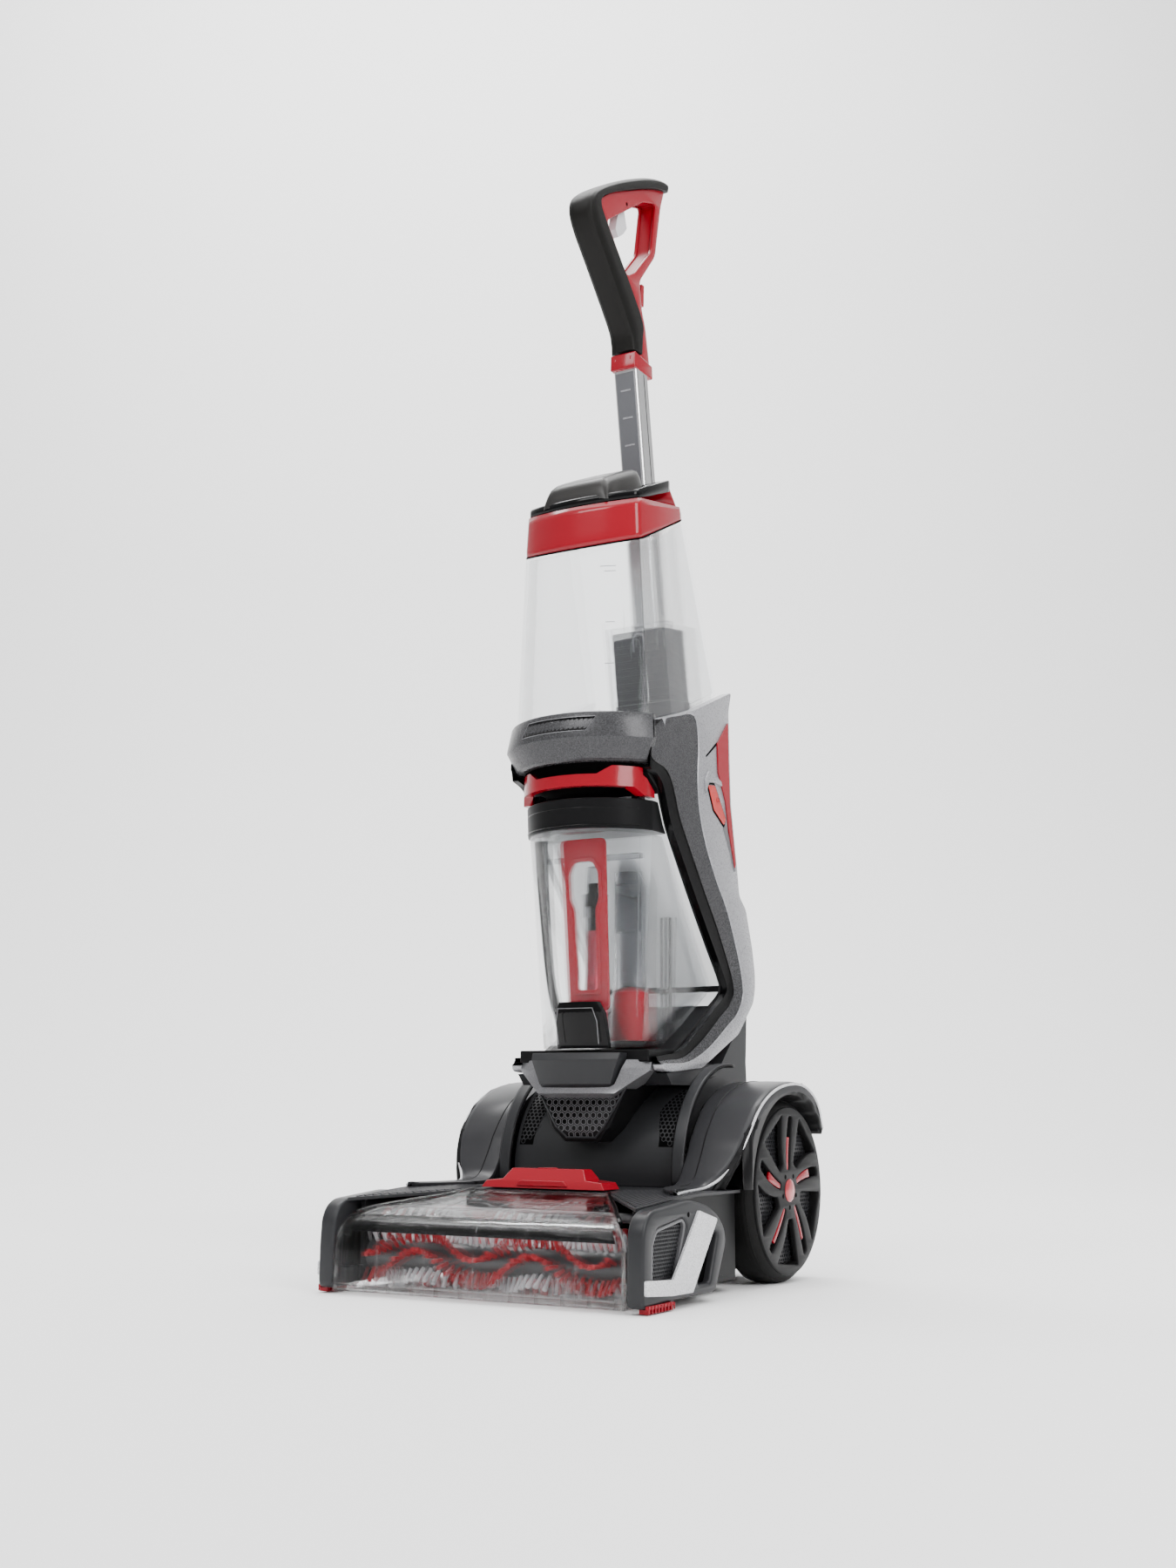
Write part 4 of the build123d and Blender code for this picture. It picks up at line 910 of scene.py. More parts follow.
class TankBayLiner(bpy.types.Operator):
    """Pale lining of the bay that holds the recovery tank"""

    bl_idname = "washer.tank_bay_liner"
    bl_label = "Tank bay lining"

    def execute(self, context):
        lines = [[(x, y, z) for x in (-66.5, -22, 22, 66.5)] for y, z in curved(BAY_LINE, 4)]
        sheet("tank_bay_liner", lines, "pale_liner", "upright", None, 30, 0.3)
        return {"FINISHED"}


BUTTON = [(85, 462), (98, 464), (122, 434), (119, 428), (97, 440)]
FRAME_STEP = [(118, 424), (133, 402), (142, 384), (146, 386), (137, 410), (123, 430)]


class FrameTrim(bpy.types.Operator):
    """Surround, mark and bracket of the power button, and the lines pressed into the side frames"""

    bl_idname = "washer.frame_trim"
    bl_label = "Button surround and frame lines"

    def execute(self, context):
        plate("button_surround", [rounded(shrunk(BUTTON, -2.2), 2), rounded(shrunk(BUTTON, -0.5), 1)], "x",
              79.7, 80.5, "deep_black", "upright", None, 0.15)
        ring = [(82.1, 103 + 2.6 * math.cos(math.radians(a)), 450 + 2.6 * math.sin(math.radians(a)))
                for a in range(0, 360, 30)]
        wire("button_ring", [ring], 0.3, "red_satin", "button", None, True)
        bracket = [(76, 466), (84, 476), (111, 470), (113, 465), (99, 467), (84, 465), (78, 452)]
        plate("button_bracket", [rounded(bracket, 1.5)], "x", 79.5, 82.4, "silver", "upright",
              "silver_paint", 0.8)
        for name, sign in SIDES:
            low, high = sorted((sign * 79.8, sign * 80.25))
            plate(f"frame_slit_{name}", [[(82, 489), (105, 505), (105, 508), (81, 490.5)]], "x", low, high,
                  "deep_black", "upright", None, 0.1)
            if sign > 0:
                high += 0.3
            plate(f"frame_step_{name}", [rounded(FRAME_STEP, 1)], "x", low, high, "silver_line", "upright",
                  None, 0.1)
        return {"FINISHED"}


def leaned(obj, z0, y0, slope):
    """Shift a new piece so that its y follows a sloping wall."""
    for vertex in obj.data.vertices:
        vertex.co.y += (y0 + slope * (vertex.co.z / MM - z0)) * MM
    return obj


def tube_of(name, x, y, sections, material, body, slot=None, sides=20):
    """An upright turned piece from (z, radius) sections."""
    lines = [[(x + r * math.cos(2 * math.pi * k / sides), y + r * math.sin(2 * math.pi * k / sides), z)
              for k in range(sides)] for z, r in sections]
    return sheet(name, lines, material, body, slot, 40, 0, True)


# The red frame's rim and hole as (x, z)
PANEL_RIM = [(-24.5, 401), (24.5, 401), (23, 330), (21.5, 243), (-21.5, 243), (-23, 330)]
PANEL_HOLE = [(-15, 370), (-9, 380), (9, 380), (15, 370), (15, 345), (11, 337), (10, 262), (-10, 262),
              (-11, 337), (-15, 345)]
# The recovery tank's front corner, from below
TANK_EDGE = ((52, -7, 236), (56, -12, 280), (60.5, -19, 340), (64, -24, 402))


class RecoveryTankInside(bpy.types.Operator):
    """The red separator frame, float tubes and red cups inside the recovery tank"""

    bl_idname = "washer.recovery_tank_inside"
    bl_label = "Recovery tank inside"

    def execute(self, context):
        slope = (-18.6 + 4.6) / (395 - 242)
        panel = plate("separator_panel", [rounded(PANEL_RIM, 6), rounded(PANEL_HOLE, 4)], "y", -1.6, 1.6,
                      "red_gloss", "recovery_tank", "red_plastic", 0.8)
        leaned(panel, 395, -16.0, slope)
        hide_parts("separator_frame")
        outlines = [rounded(shrunk(PANEL_HOLE, -4.5), 5), rounded(shrunk(PANEL_HOLE, -2.2), 4)]
        ridge = plate("separator_ridge", outlines, "y", -2.8, -1.2, "red_gloss", "recovery_tank",
                      "red_plastic", 0.5)
        leaned(ridge, 395, -16.0, slope)
        tube_of("float_tube", -2, 12,
                [(256, 9.5), (330, 10), (331, 12), (352, 12), (353, 9), (378, 8), (379, 5)], "smoke_clear",
                "recovery_tank")
        tube_of("float_cup", -2, 12, [(222, 12), (262, 10.5), (300, 8), (318, 6.5), (319, 0.1)],
                "red_clear", "recovery_tank")
        tube_of("float_neck", -2, 12, [(318, 5), (340, 5), (341, 7.5), (362, 7.5), (363, 2)], "dark_satin",
                "recovery_tank")
        tube_of("stack_cup", 16, 48, [(217, 17.5), (262, 16.8), (263, 15.5), (267, 9), (268, 0.1)],
                "red_gloss", "recovery_tank", "red_plastic")
        tube_of("stack_pipe", 16, 48, [(266, 9.5), (318, 9.5), (319, 14), (364, 14.6), (365, 12), (398, 12)],
                "smoke_clear", "recovery_tank")
        for k, x in enumerate((34, 38.5, 43)):
            tube_of(f"rear_rib_{k}", x, 76, [(236, 1.6), (335, 1.6)], "inner_grey", "recovery_tank", None, 8)
        plate("tank_shelf", [rounded([(-46, 384), (46, 384), (46, 389), (-46, 389)], 1)], "y", 8, 16,
              "smoke_clear", "recovery_tank", None, 0.4)
        for k, side in enumerate((-1, 1)):
            line = [(side * x, y, z) for x, y, z in TANK_EDGE]
            wire(f"tank_edge_bead_{k}", [line], 0.7, "tank_clear", "recovery_tank", "clear_plastic")
        left = curved([(-51, 402), (-48, 335), (-42, 262), (-30, 216)], 4)
        right = curved([(-38, 402), (-38, 335), (-34, 265), (-21, 216)], 4)
        blade = [[(x, -17 - 0.09 * (z - 400), z) for x, z in pair] for pair in zip(left, right)]
        sheet("tank_inner_post", blade, "gloss_black", "recovery_tank", "black_plastic", 32, 2.4)
        for k, z in enumerate((409, 425)):
            line = [(x, bowed(66.8, -49.6, -4.4, x) - 0.1, z) for x in range(-60, 61, 6)]
            wire(f"lid_bead_{k}", [line], 0.5, "gloss_black", "recovery_tank", "black_plastic")
        frame_line = [(-21, 212), (-21.5, 232), (-18, 244), (18, 244), (21.5, 232), (21, 212)]
        outline = [(x, -21.2 - 0.22 * (z - 208.5), z) for x, z in frame_line]
        wire("badge_rim", [outline], 0.4, "silver_line", "recovery_tank")
        return {"FINISHED"}


# A barrel vent's outline as x and degrees round the pivot, its radius, and its degrees per millimetre
VENT_PATCH = [(60, 38), (76, 58), (80.5, 58), (80.5, 15), (66, 20)]
VENT_RADIUS, VENT_TURN = 90.35, 0.64


class VentAndBarrel(bpy.types.Operator):
    """Ring mesh of the front vent and of the two side vents on the barrel"""

    bl_idname = "washer.vent_and_barrel"
    bl_label = "Vent meshes"

    def execute(self, context):
        def wall(z):
            """Y of the front vent's face, which leans one way below z 136 and the other way above it."""
            return -14 - 4 * (z - 124) / 12 if z < 136 else -18 + 2 * (z - 136) / 42

        vee = [(-43, 172), (-25, 139), (-15, 129), (15, 129), (25, 139), (43, 172)]
        # A black sheet under the rings: painted shade of the vent's holes.
        cover = [(x, wall(z) - 0.25, z) for x, z in vee]
        solid("vent_backing", cover, [tuple(range(6))], "deep_black", "upright")
        points, faces = honeycomb(within(shrunk(vee, 1.5)), lambda u, v, d: (u, wall(v) - 0.6 - d, v),
                                  6.6, 0.8, 1.0, (-44, 128), (44, 173), False)
        solid("vent_rings", points, faces, "inner_grey", "upright", "black_plastic", 30)
        border = [(x, wall(z) - 0.6, z) for x, z in [(-48, 176)] + vee[1:5] + [(48, 176)]]
        wire("vent_border", [border], 1.1, "charcoal", "upright", "charcoal_plastic")
        for name, sign in SIDES:
            def place(u, v, d, sign=sign):
                y, z = polar(HINGE, VENT_RADIUS + d, v * VENT_TURN)
                return sign * u, y, z

            # A black strip under each side mesh: painted shade of the vent's holes.
            strip = []
            for k in range(13):
                angle = 15 + 43 * k / 12
                if angle < 38:
                    left = 66 - 6 * min(1, max(0, (angle - 20) / 18))
                else:
                    left = 60 + 16 * (angle - 38) / 20
                v = angle / VENT_TURN
                strip.append([place(left, v, -0.1), place(80.5, v, -0.1)])
            sheet(f"barrel_vent_backing_{name}", strip, "deep_black", "foot")
            patch = [(u, angle / VENT_TURN) for u, angle in VENT_PATCH]
            points, faces = honeycomb(within(patch), place, 4.4, 0.7, 0.8, (58, 22), (82, 92), True)
            solid(f"barrel_vent_mesh_{name}", points, faces, "charcoal", "foot", "charcoal_plastic", 30)
        return {"FINISHED"}


# Arch stations: y, z, inner x, outer x
ARCH_LINE = [(-92, 88.6, 131, 137), (-78, 88.8, 118, 134), (-60, 89, 106, 130.5), (-44, 89.2, 98, 127.5),
             (-32, 89.4, 96.4, 126), (-20, 91, 96.4, 127.5), (-11, 96.5, 96.4, 134), (-4, 106, 96.4, 142),
             (4, 118.5, 96.4, 147.5), (14, 134.4, 96.4, 151), (36, 157.4, 96.4, 152.2),
             (66, 172.5, 96.4, 152.4), (100, 179.4, 96.4, 152.4), (134, 179.2, 96.4, 152.4),
             (160, 170.4, 96.4, 152.2), (176, 156.4, 96.4, 151.8), (184.4, 138, 96.4, 151)]


class WheelArches(bpy.types.Operator):
    """Two-tier arches over the wheels with a thin silver line along their lip"""

    bl_idname = "washer.wheel_arches"
    bl_label = "Wheel arches"

    def execute(self, context):
        stations = curved(ARCH_LINE, 5)
        for name, sign in SIDES:
            lines, lip, ridge = [], [], []
            for k, (y, z, inner, outer) in enumerate(stations):
                a, b = stations[max(k - 1, 0)], stations[min(k + 1, len(stations) - 1)]
                ahead = Vector((b[0] - a[0], b[1] - a[1])).normalized()
                up = Vector((-ahead.y, ahead.x))
                section = ((inner, -3.4), (inner + 0.6, -0.6), (inner + 2, 0), ((inner + outer) / 2, 0.5),
                           (outer - 7, 0.2), (outer - 3, -0.4), (outer - 0.9, -1.8), (outer, -4.0),
                           (outer, -9.0), (outer - 1.6, -9.6))
                lines.append([(sign * x, y + up.x * d, z + up.y * d) for x, d in section])
                lip.append((sign * (outer + 0.1), y + up.x * -2.1, z + up.y * -2.1))
                if inner < 97:
                    ridge.append((sign * (inner + 15), y + up.x * 0.3, z + up.y * 0.3))
            sheet(f"arch_cover_{name}", lines, "arch_grey", "foot", "charcoal_plastic", 35, 1.2)
            wire(f"arch_silver_line_{name}", [lip], 1.2, "bright_silver", "foot", "silver_paint")
            wire(f"arch_tier_line_{name}", [ridge], 0.55, "dark_satin", "foot")
            strip = []
            for k in range(36):
                angle = -6 + 101 * k / 35
                strip.append([(sign * x, *polar(HINGE, r, angle)) for x, r in
                              ((84.6, 95.6), (84.6, 98.0), (85.6, 98.9), (94, 98.9), (96.3, 98.5))])
            sheet(f"arch_inner_tier_{name}", strip, "charcoal", "foot", "charcoal_plastic", 35, 0.6)
        return {"FINISHED"}


# The deck's top as (y, z), and the front and rear ends of the window's sloping edge as (x, y)
DECK_TOP = ((-173, 78.4), (-107, 83.5), (-60, 86), (20, 86))
WINDOW_GAP = ((141.5, -174), (66, -85.5))
RIDGE_STEPS = 8


class DeckDetail(bpy.types.Operator):
    """Ridges of the deck beside the window, and the details of the red latch"""

    bl_idname = "washer.deck_detail"
    bl_label = "Deck ridges and latch"

    def execute(self, context):
        gap = context.scene.washer_sizes.ridge_gap / MM
        ridges = []
        x = 72.0
        while x < 139:
            along_gap = (WINDOW_GAP[0][0] - x) / (WINDOW_GAP[0][0] - WINDOW_GAP[1][0])
            start = WINDOW_GAP[0][1] + along_gap * (WINDOW_GAP[1][1] - WINDOW_GAP[0][1]) + 3
            end = -57 if x < 118 else -62
            ridges.append((x, start, end))
            x += gap
        for name, sign in SIDES:
            points, faces = [], []
            for x, start, end in ridges:
                base = len(points)
                for k in range(RIDGE_STEPS + 1):
                    y = start + (end - start) * k / RIDGE_STEPS
                    z = along(DECK_TOP, y)
                    points += [(sign * (x - 1.3), y, z - 0.2), (sign * (x - 0.8), y, z + 0.75),
                               (sign * (x + 0.8), y, z + 0.75), (sign * (x + 1.3), y, z - 0.2)]
                for k in range(RIDGE_STEPS):
                    a = base + 4 * k
                    faces += [(a + j, a + j + 1, a + j + 5, a + j + 4) for j in range(3)]
                faces += [(base, base + 1, base + 2, base + 3),
                          tuple(base + 4 * RIDGE_STEPS + j for j in range(4))]
            solid(f"deck_ridges_{name}", points, faces, "arch_grey", "foot", "charcoal_plastic", 30)
        plate("latch_recess", [rounded([(-26, 88.5), (26, 88.5), (22, 93), (-22, 93)], 2)], "y", -84.7, -80,
              "red_satin", "latch", None, 0.4)
        for k in range(3):
            half, front = 10 - 3 * k, -74 + 4 * k
            outline = rounded([(-half, front), (half, front), (half, front + 1.4), (-half, front + 1.4)], 0.5)
            plate(f"latch_ridge_{k}", [outline], "z", 102.8, 103.7, "red_satin", "latch", "red_plastic", 0.25)
        return {"FINISHED"}


CAP_OUTLINE = [(-190, 4), (-190, 40), (-188.5, 62), (-183, 72), (-173, 77.5), (-107, 83), (-78, 78),
               (-58, 70), (-45, 58), (-42, 46), (-62, 9), (-68, 7.4), (-141, 7)]
CAP_GRILLE = [(-175, 21), (-174, 52), (-166, 63), (-121, 69.5), (-115, 64), (-132, 21)]
CAP_SLOT = [(-96, 16), (-70, 58), (-58, 54), (-74, 16)]


class SideCaps(bpy.types.Operator):
    """Side caps of the nozzle with their grille and slot, and painted shade for their recesses and screw hole
    """

    bl_idname = "washer.side_caps"
    bl_label = "Side caps"

    def execute(self, context):
        for name, sign in SIDES:
            def span(a, b):
                """Two distances from the middle as this side's low and high x."""
                return sorted((sign * a, sign * b))

            cap = plate(f"cap_shell_{name}",
                        [rounded(CAP_OUTLINE, 7), rounded(CAP_GRILLE, 4), rounded(CAP_SLOT, 3)], "x",
                        *span(141.2, 156.5), "charcoal", "foot", "charcoal_plastic", 3.0)
            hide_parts(f"side_cap_{name}")
            inner = shrunk(CAP_GRILLE, 2.8)
            plate(f"cap_panel_{name}", [rounded(CAP_GRILLE, 4), rounded(inner, 3)], "x", *span(151, 155.4),
                  "inner_grey", "foot", "charcoal_plastic", 0.8)
            # Black plates in the grille and slot openings: painted shade of the recesses behind them.
            plate(f"cap_recess_{name}", [rounded(shrunk(CAP_GRILLE, -1), 4)], "x", *span(145, 149),
                  "deep_black", "foot", None, 0.3)
            plate(f"slot_recess_{name}", [rounded(shrunk(CAP_SLOT, -1), 3)], "x", *span(145, 150),
                  "deep_black", "foot", None, 0.3)
            def place(u, v, d, sign=sign):
                return sign * (152.6 + d), u, v

            points, faces = honeycomb(within(shrunk(inner, -1.2)), place, 3.4, 0.6, 1.6,
                                      (-176, 18), (-112, 72))
            mesh = solid(f"cap_mesh_{name}", points, faces, "charcoal", "foot", "charcoal_plastic", 30)
            if sign > 0:
                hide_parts("cap_grilles")
            # A black disc on the cap: painted shade standing in for the screw hole.
            hole = disc(lambda a, b, sign=sign: (sign * 156.65, -113 + a, 71.5 + b), 2.1)
            solid(f"cap_screw_hole_{name}", hole, [tuple(range(12))], "deep_black", "foot")
            ribs = [[(sign * 158.7, -184.6 + 5.3 * k, 1.6),
                     (sign * 158.7, -184.6 + 5.3 * k, 6.8)] for k in range(9)]
            wire(f"edge_brush_ribs_{name}", ribs, 0.6, "red_gloss", "foot", "red_plastic")
        return {"FINISHED"}


# Window stations: y, z, half width
WINDOW_LINE = [(-189.6, 3, 139.6), (-189.4, 22, 139.6), (-188.8, 40, 139.2), (-187.4, 50, 138),
               (-184.6, 58, 134.5), (-179.5, 64.6, 129), (-172, 69, 123), (-158, 72.6, 113),
               (-134, 76.4, 98), (-110, 80.4, 81.5), (-86.5, 85, 66)]


# Y where the window bends from its front to its top, and the stations of the black header inside the bend
WINDOW_BEND = -172
HEADER_LINE = ((-182.6, 52, 128), (-178.5, 58.5, 124), (-172, 63.5, 119))
# A tooth of the lip: front y, rear y at its foot and top, foot z, top z, and half widths at its foot and top
WIDE_TOOTH = (-188.9, -181, -183, 3.4, 11, 1.6, 1.2)
FINE_TOOTH = (-187, -180, -184, 12, 25, 0.8, 0.5)


class NozzleWindow(bpy.types.Operator):
    """The clear window over the brush rolls with its ribs, lip and dark seal"""

    bl_idname = "washer.nozzle_window"
    bl_label = "Nozzle window"

    def execute(self, context):
        stations = curved(WINDOW_LINE, 5)
        across = 24
        lines = [[(half * k / across, y, z) for k in range(-across, across + 1)] for y, z, half in stations]
        window = sheet("clear_window", lines, "window_clear", "window", "clear_plastic", 40, 2.2)
        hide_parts("nozzle_window")
        ends = []
        for k, sign in enumerate((-1, 1)):
            edge = [(sign * half, y, z) for y, z, half in stations]
            ends.append(edge)
            wall = []
            for x, y, z in edge:
                if y < WINDOW_BEND:
                    back = min(16, max(0, WINDOW_BEND - y))
                    wall.append([(x, y, z), (x * 0.998, y + back, z - (0 if z < 50 else 3))])
            sheet(f"window_end_{k}", wall, "window_clear", "window", "clear_plastic", 40, 1.4)
        wire("window_edge_beads", ends, 1.3, "window_clear", "window", "clear_plastic")
        seal = [[(x + math.copysign(2.6, x), y + 0.8, z - 1.0) for x, y, z in edge if y > -176]
                for edge in ends]
        wire("window_seal", seal, 2.2, "gloss_black", "foot", "black_plastic")
        ribs = []
        for x in (-96, -48, 0, 48, 96):
            rib = []
            for y, z, half in stations:
                if half > abs(x) + 2:
                    rib.append((x, y - 0.1, z - 0.2))
            ribs.append(rib)
        wire("window_ribs", ribs, 0.9, "window_clear", "window", "clear_plastic")
        bars = [[(-139, -188.6, z), (139, -188.6, z)] for z in (4.2, 8.6)]
        bars.append([(-124, -182.0, 61.6), (124, -182.0, 61.6)])
        bars.append([(-117, -165, 71.6), (117, -165, 71.6)])
        header = [[(half * k, y, z) for k in (-1, -0.5, 0, 0.5, 1)] for y, z, half in HEADER_LINE]
        sheet("window_header", header, "gloss_black", "window", "black_plastic", 30, 0.8)
        wire("window_lip_bars", bars, 1.0, "window_clear", "window", "clear_plastic")
        teeth = [(-132 + 24 * k, WIDE_TOOTH) for k in range(12)]
        teeth += [(centre - 12 + 4 * k, FINE_TOOTH) for centre in (-84, 0, 84) for k in range(7)]
        points, faces = [], []
        for x, (front, rear, rear_top, foot, top, foot_half, top_half) in teeth:
            base = len(points)
            for y, y_top in ((front, front), (rear, rear_top)):
                points += [(x - foot_half, y, foot), (x + foot_half, y, foot), (x + top_half, y_top, top),
                           (x - top_half, y_top, top)]
            faces += [tuple(base + i for i in face) for face in BOX_FACES]
        solid("window_lip_teeth", points, faces, "window_clear", "window", "clear_plastic", 30, 0.2)
        wall = rounded([(-130, 14), (130, 14), (130, 82.4), (-130, 82.4)], 2)
        plate("nozzle_back_wall", [wall], "y", -62.4, -60.2, "deep_black", "foot", "black_plastic", 0.3)
        return {"FINISHED"}


CORE_RADIUS = 12.5
TUFT_SIDES = 7


class BrushTufts(bpy.types.Operator):
    """Red and white tufts set in waves round the two brush rolls"""

    bl_idname = "washer.brush_tufts"
    bl_label = "Brush tufts"

    def execute(self, context):
        sizes = context.scene.washer_sizes
        length, gap = sizes.tuft_length / MM, sizes.tuft_gap / MM
        for name, centre, phase in (("front", (-150, 31), 20), ("rear", (-92, 31), 65)):
            made = {"red": ([], []), "white": ([], [])}
            for row in range(6):
                tint = "white" if row % 3 == 1 else "red"
                points, faces = made[tint]
                x = -121.0 + 1.3 * (row % 3)
                while x < 122:
                    wave = 38 * math.cos(2 * math.pi * (x + 12) / 112)
                    angle = math.radians(phase + 60 * row + wave)
                    out = Vector((0, math.cos(angle), math.sin(angle)))
                    across = Vector((0, -math.sin(angle), math.cos(angle)))
                    lean = Vector((0.10 * math.sin(x * 1.7 + row), 0, 0))
                    base = len(points)
                    tip = CORE_RADIUS + length
                    rings = ((CORE_RADIUS - 1, 1.5), (CORE_RADIUS + length * 0.55, 1.8), (tip - 0.6, 2.2),
                             (tip, 1.7))
                    for reach, radius in rings:
                        mid = Vector((x, centre[0], centre[1])) + out * reach + lean * (reach - 12)
                        for k in range(TUFT_SIDES):
                            a = 2 * math.pi * k / TUFT_SIDES
                            side = Vector((1, 0, 0)) * radius * math.cos(a) + across * radius * math.sin(a)
                            points.append(tuple(mid + side))
                    for ring in range(len(rings) - 1):
                        a = base + TUFT_SIDES * ring
                        b = a + TUFT_SIDES
                        for k in range(TUFT_SIDES):
                            after = (k + 1) % TUFT_SIDES
                            faces.append((a + k, a + after, b + after, b + k))
                    faces.append(tuple(b + k for k in range(TUFT_SIDES)))
                    x += gap * (1.3 if tint == "white" else 1)
            for tint, (points, faces) in made.items():
                tufts = solid(f"tufts_{name}_{tint}", points, faces, f"{tint}_bristle", f"brush_roll_{name}",
                              "bristle", 35)
                if tint == "red":
                    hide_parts(f"bristles_{name}")
        return {"FINISHED"}


def swirl(reach):
    """Degrees by which the spokes turn on their way out from the hub."""
    return -5 + 10 * (reach - 20) / 50


def pocket(middle, inner, outer, near, far, steps=6):
    """A wheel pocket round the axle between two radii; near and far are its half widths in degrees."""
    sides = []
    for sign in (-1, 1):
        side = []
        for k in range(steps + 1):
            t = k / steps
            reach = inner + (outer - inner) * t
            side.append(polar(AXLE, reach, middle + swirl(reach) + sign * (near + (far - near) * t)))
        sides.append(side)
    return rounded(sides[0] + sides[1][::-1], 2.5, 2)


def red_bar(middle, outer, near, far, inner=9, steps=4):
    """A red bar's outline from the hub outwards; near and far are its half widths in millimetres."""
    low, high = [], []
    for k in range(steps + 1):
        t = k / steps
        reach = inner + (outer - inner) * t
        half = math.degrees((near + (far - near) * t) / reach)
        low.append(polar(AXLE, reach, middle + swirl(reach) - half))
        high.append(polar(AXLE, reach, middle + swirl(reach) + half))
    return rounded(low + high[::-1], 1, 2)


# Each red bar of a wheel: how far out it reaches, and its half widths at the hub and at its end
RED_BARS = ((46, 1.6, 3.9), (48, 1.5, 2.8), (50, 1.8, 4.1), (54, 1.8, 2.0), (56, 1.8, 2.2))
# Degrees up of the first bar and of the first spoke's pocket, and from each to the next
BAR_AT, POCKET_AT, SPOKE_TURN = 18, 54, 72
MESH_INNER, MESH_OUTER = 19, 65.5
# Turned pieces: name, (distance from the middle, radius) sections, finish and slot
TURNED = (
    # A black disc behind the wheel mesh: painted shade of the mesh's holes.
    ("backing", ((139.5, 4), (139.5, 65.8)), "deep_black", None),
    ("hub_cap", ((147.5, 10.4), (149.4, 10.2), (150.3, 9.2), (150.9, 6.5), (151.1, 0.2)), "hub_pink",
     "red_plastic"),
    ("hub_core", ((139.6, 18), (146.0, 18), (146.0, 4)), "wheel_satin", "wheel_grey"),
)
# Tread lines: distance from the middle, radius
TREAD_LINES = ((116, 80.9), (122, 81.75), (135.5, 81.75), (141, 80.5))


class WheelDetail(bpy.types.Operator):
    """Spoked faces, mesh, red bars and hub caps of the wheels"""

    bl_idname = "washer.wheel_detail"
    bl_label = "Wheel faces and hubs"

    def execute(self, context):
        pitch = context.scene.washer_sizes.mesh_pitch / MM
        circle = [polar(AXLE, 75, 5 * k) for k in range(72)]
        holes = []
        for k in range(5):
            holes.append(pocket(BAR_AT + SPOKE_TURN * k, 19, 67, 9, 3.6))
            holes.append(pocket(POCKET_AT + SPOKE_TURN * k, 26, 69.5, 11, 20))
        bars = []
        for k, (reach, near, far) in enumerate(RED_BARS):
            bars.append(red_bar(BAR_AT + SPOKE_TURN * k, reach, near, far))

        def in_mesh(u, v):
            return MESH_INNER < math.hypot(u, v) < MESH_OUTER

        for name, sign in SIDES:
            body = f"wheel_{name}"
            low, high = sorted((sign * 143.6, sign * 148.9))
            face = plate(f"wheel_face_{name}", [circle, *holes], "x", low, high, "wheel_satin", body,
                         "wheel_grey", 1.1)
            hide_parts(f"wheel_disc_{name}")

            def place(u, v, d, sign=sign):
                return sign * (141.0 + d), AXLE[0] + u, AXLE[1] + v

            points, faces = honeycomb(in_mesh, place, pitch, 0.9, 1.6, (-68, -68), (68, 68))
            solid(f"wheel_mesh_{name}", points, faces, "charcoal", body, "wheel_grey", 30)
            for label, sections, material, slot in TURNED:
                lines = [[(sign * x, *polar(AXLE, r, 7.5 * k)) for k in range(48)] for x, r in sections]
                sheet(f"wheel_{label}_{name}", lines, material, body, slot, 30, 0, True)
            # Black discs round the hub: painted shade standing in for its five holes.
            points, faces = [], []
            for k in range(5):
                middle = polar(AXLE, 15.2, POCKET_AT + SPOKE_TURN * k)
                faces.append(tuple(len(points) + a for a in range(12)))
                points += [(sign * 149.0, *polar(middle, 2.1, 30 * a)) for a in range(12)]
            solid(f"hub_holes_{name}", points, faces, "deep_black", body)
            low, high = sorted((sign * 145.4, sign * 148.0))
            inserts = plate(f"wheel_bars_{name}", bars, "x", low, high, "red_gloss", body, "red_plastic", 0.7)
            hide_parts(f"spoke_insert_{name}")
            for k, (x, r) in enumerate(TREAD_LINES):
                line = [(sign * x, *polar(AXLE, r, 5.625 * a)) for a in range(64)]
                wire(f"tread_line_{name}_{k}", [line], 0.4, "tyre", body, "tyre_rubber", True)
        return {"FINISHED"}


class RearDetail(bpy.types.Operator):
    """Painted shade of the air slots, and the screws and panel lines on the back of the body"""

    bl_idname = "washer.rear_detail"
    bl_label = "Rear slots and screws"

    def execute(self, context):
        def back(z):
            """Y of the body's back, which leans forward above z 288."""
            return 189.0 - (0 if z < 288 else (z - 288) * 0.24)

        # Black bars on the back: painted shade standing in for the air slots.
        slots = [[(x, back(z), z) for x in (-34, 0, 34)] for z in range(262, 300, 6)]
        wire("rear_air_slots", slots, 1.1, "deep_black", "upright")
        points, faces = [], []
        for x, y, z in ((-58, 134.8, 470), (58, 134.8, 470), (-58, 136.8, 440), (58, 136.8, 440)):
            faces.append(tuple(len(points) + a for a in range(12)))
            points += disc(lambda a, b, x=x, y=y, z=z: (x + a, y, z + b), 3)
        solid("rear_screws", points, faces, "plated_steel", "upright", "steel")
        panel = [(-50, 134.4, 535), (-50, 134.4, 492), (50, 134.4, 492), (50, 134.4, 535)]
        wire("rear_panel_line", [panel], 0.5, "deep_black", "upright", None, True)
        return {"FINISHED"}


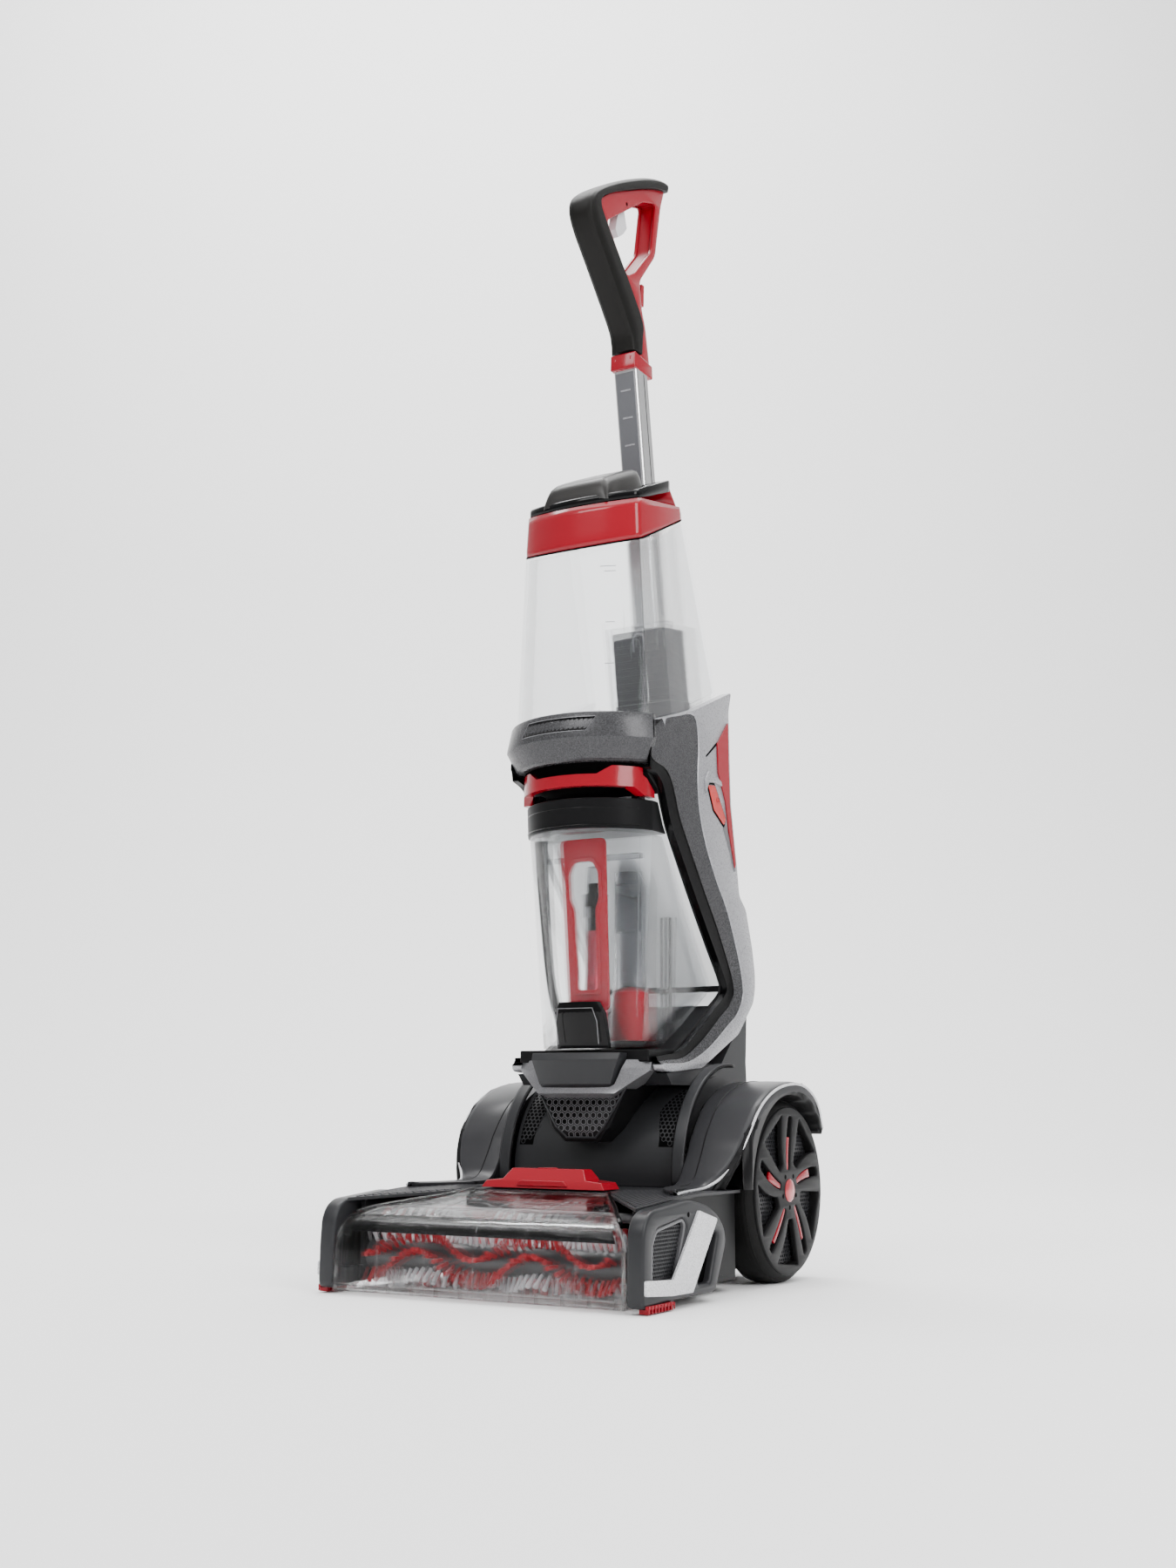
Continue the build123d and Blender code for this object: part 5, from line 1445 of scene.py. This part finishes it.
# ---------------------------------------------------------------- stage
# Lights: name, place, target, size of the panel in metres, and power in watts
LIGHTS = (
    ("key", (2.1, -1.0, 1.7), (0, 0, 0.5), (1.0, 1.8), 55),
    ("front", (-0.4, -2.4, 2.6), (0, 0, 0.4), (1.6, 1.0), 45),
    ("top", (0.1, 0.4, 3.2), (0, 0.3, 0), (3.0, 3.0), 110),
    ("backdrop", (-1.2, 1.2, 4.8), (-2.1, 3.7, 2.0), (4.0, 2.0), 330),
)
# The camera's place in metres, and its turn to the left, rise and roll in degrees
CAMERA_AT = (0.7931, -1.3775, 0.1552)
CAMERA_TURN, CAMERA_RISE, CAMERA_ROLL = 30.07, 10.72, 0.35


class Stage(bpy.types.Operator):
    """Pale floor and backdrop, soft lights and the camera"""

    bl_idname = "washer.stage"
    bl_label = "Stage"

    def execute(self, context):
        scene = context.scene
        bend_at, bend = 2.2, 2.0
        line = [(-6.0, 0.0), (bend_at, 0.0)]
        for degrees in range(10, 91, 10):
            a = math.radians(degrees)
            line.append((bend_at + bend * math.sin(a), bend - bend * math.cos(a)))
        line.append((bend_at + bend, 7.0))
        points, faces = rows([[(x, y, z) for x in (-9.0, 9.0)] for y, z in line])
        mesh = bpy.data.meshes.new("studio_sweep")
        mesh.from_pydata(points, [], faces)
        mesh.polygons.foreach_set("use_smooth", [True] * len(mesh.polygons))
        sweep = placed("studio_sweep", mesh)
        paper = bpy.data.materials.new("studio_paper")
        paper.use_nodes = True
        surface = paper.node_tree.nodes["Principled BSDF"]
        surface.inputs["Base Color"].default_value = (0.90, 0.90, 0.90, 1)
        surface.inputs["Roughness"].default_value = 0.9
        surface.inputs["Specular IOR Level"].default_value = 0.1
        mesh.materials.append(paper)
        turn = Matrix.Rotation(math.radians(30), 4, "Z")
        mesh.transform(turn)

        world = bpy.data.worlds.new("studio")
        world.use_nodes = True
        tree = world.node_tree
        ray = node(tree, "ShaderNodeTexCoord").outputs["Generated"]
        height = node(tree, "ShaderNodeSeparateXYZ", [(0, ray)]).outputs[2]
        band = node(tree, "ShaderNodeMapRange", [(0, height)], in_1=0.16, in_2=0.75, in_3=0.45, in_4=0.75)
        tree.links.new(band.outputs[0], tree.nodes["Background"].inputs["Strength"])
        tree.nodes["Background"].inputs["Color"].default_value = (1, 1, 1, 1)
        scene.world = world
        for label, place, target, size, power in LIGHTS:
            lamp = bpy.data.lights.new(label, "AREA")
            lamp.shape, lamp.size, lamp.size_y, lamp.energy = "RECTANGLE", size[0], size[1], power
            holder = placed(label, lamp)
            holder.location = place
            holder.rotation_euler = (Vector(target) - Vector(place)).to_track_quat("-Z", "Y").to_euler()

        camera = bpy.data.cameras.new("camera")
        camera.sensor_width, camera.lens = 36.0, 39.28
        camera.clip_start, camera.clip_end = 0.05, 50
        holder = placed("camera", camera)
        turn, rise, roll = (math.radians(a) for a in (CAMERA_TURN, CAMERA_RISE, CAMERA_ROLL))
        ahead = Vector((-math.sin(turn) * math.cos(rise), math.cos(turn) * math.cos(rise), math.sin(rise)))
        right = Vector((math.cos(turn), math.sin(turn), 0))
        up = right.cross(ahead)
        right, up = (right * math.cos(roll) + up * math.sin(roll),
                     up * math.cos(roll) - right * math.sin(roll))
        pose = Matrix((right, up, -ahead)).transposed().to_4x4()
        pose.translation = Vector(CAMERA_AT)
        holder.matrix_world = pose
        scene.camera = holder
        return {"FINISHED"}


OPERATORS = (CarriedFinishes, HandleLoop, TubeTrim, WaterTankTrim, SocketTrim, CollarTrim, SideFrames,
             TankBayLiner, FrameTrim, RecoveryTankInside, VentAndBarrel, WheelArches, DeckDetail, SideCaps,
             NozzleWindow, BrushTufts, WheelDetail, RearDetail, Stage)


class WasherPanel(bpy.types.Panel):
    """Buttons that build each group of pieces."""

    bl_idname = "VIEW3D_PT_washer"
    bl_label = "Carpet washer"
    bl_space_type = "VIEW_3D"
    bl_region_type = "UI"
    bl_category = "Carpet washer"

    def draw(self, context):
        for settings in (context.scene.washer_sizes, context.scene.washer_colours):
            for label in settings.__annotations__:
                self.layout.prop(settings, label)
        for operator in OPERATORS:
            self.layout.operator(operator.bl_idname)


CLASSES = (WasherSizes, WasherColours, *OPERATORS, WasherPanel)


def register():
    """Register the classes and put the settings on the scene."""
    for made in CLASSES:
        bpy.utils.register_class(made)
    bpy.types.Scene.washer_sizes = bpy.props.PointerProperty(type=WasherSizes)
    bpy.types.Scene.washer_colours = bpy.props.PointerProperty(type=WasherColours)


def unregister():
    """Take the settings and classes away again."""
    del bpy.types.Scene.washer_colours
    del bpy.types.Scene.washer_sizes
    for made in reversed(CLASSES):
        bpy.utils.unregister_class(made)


def main():
    register()
    for operator in OPERATORS:
        group, name = operator.bl_idname.split(".")
        getattr(getattr(bpy.ops, group), name)()


if __name__ == "__main__":
    main()
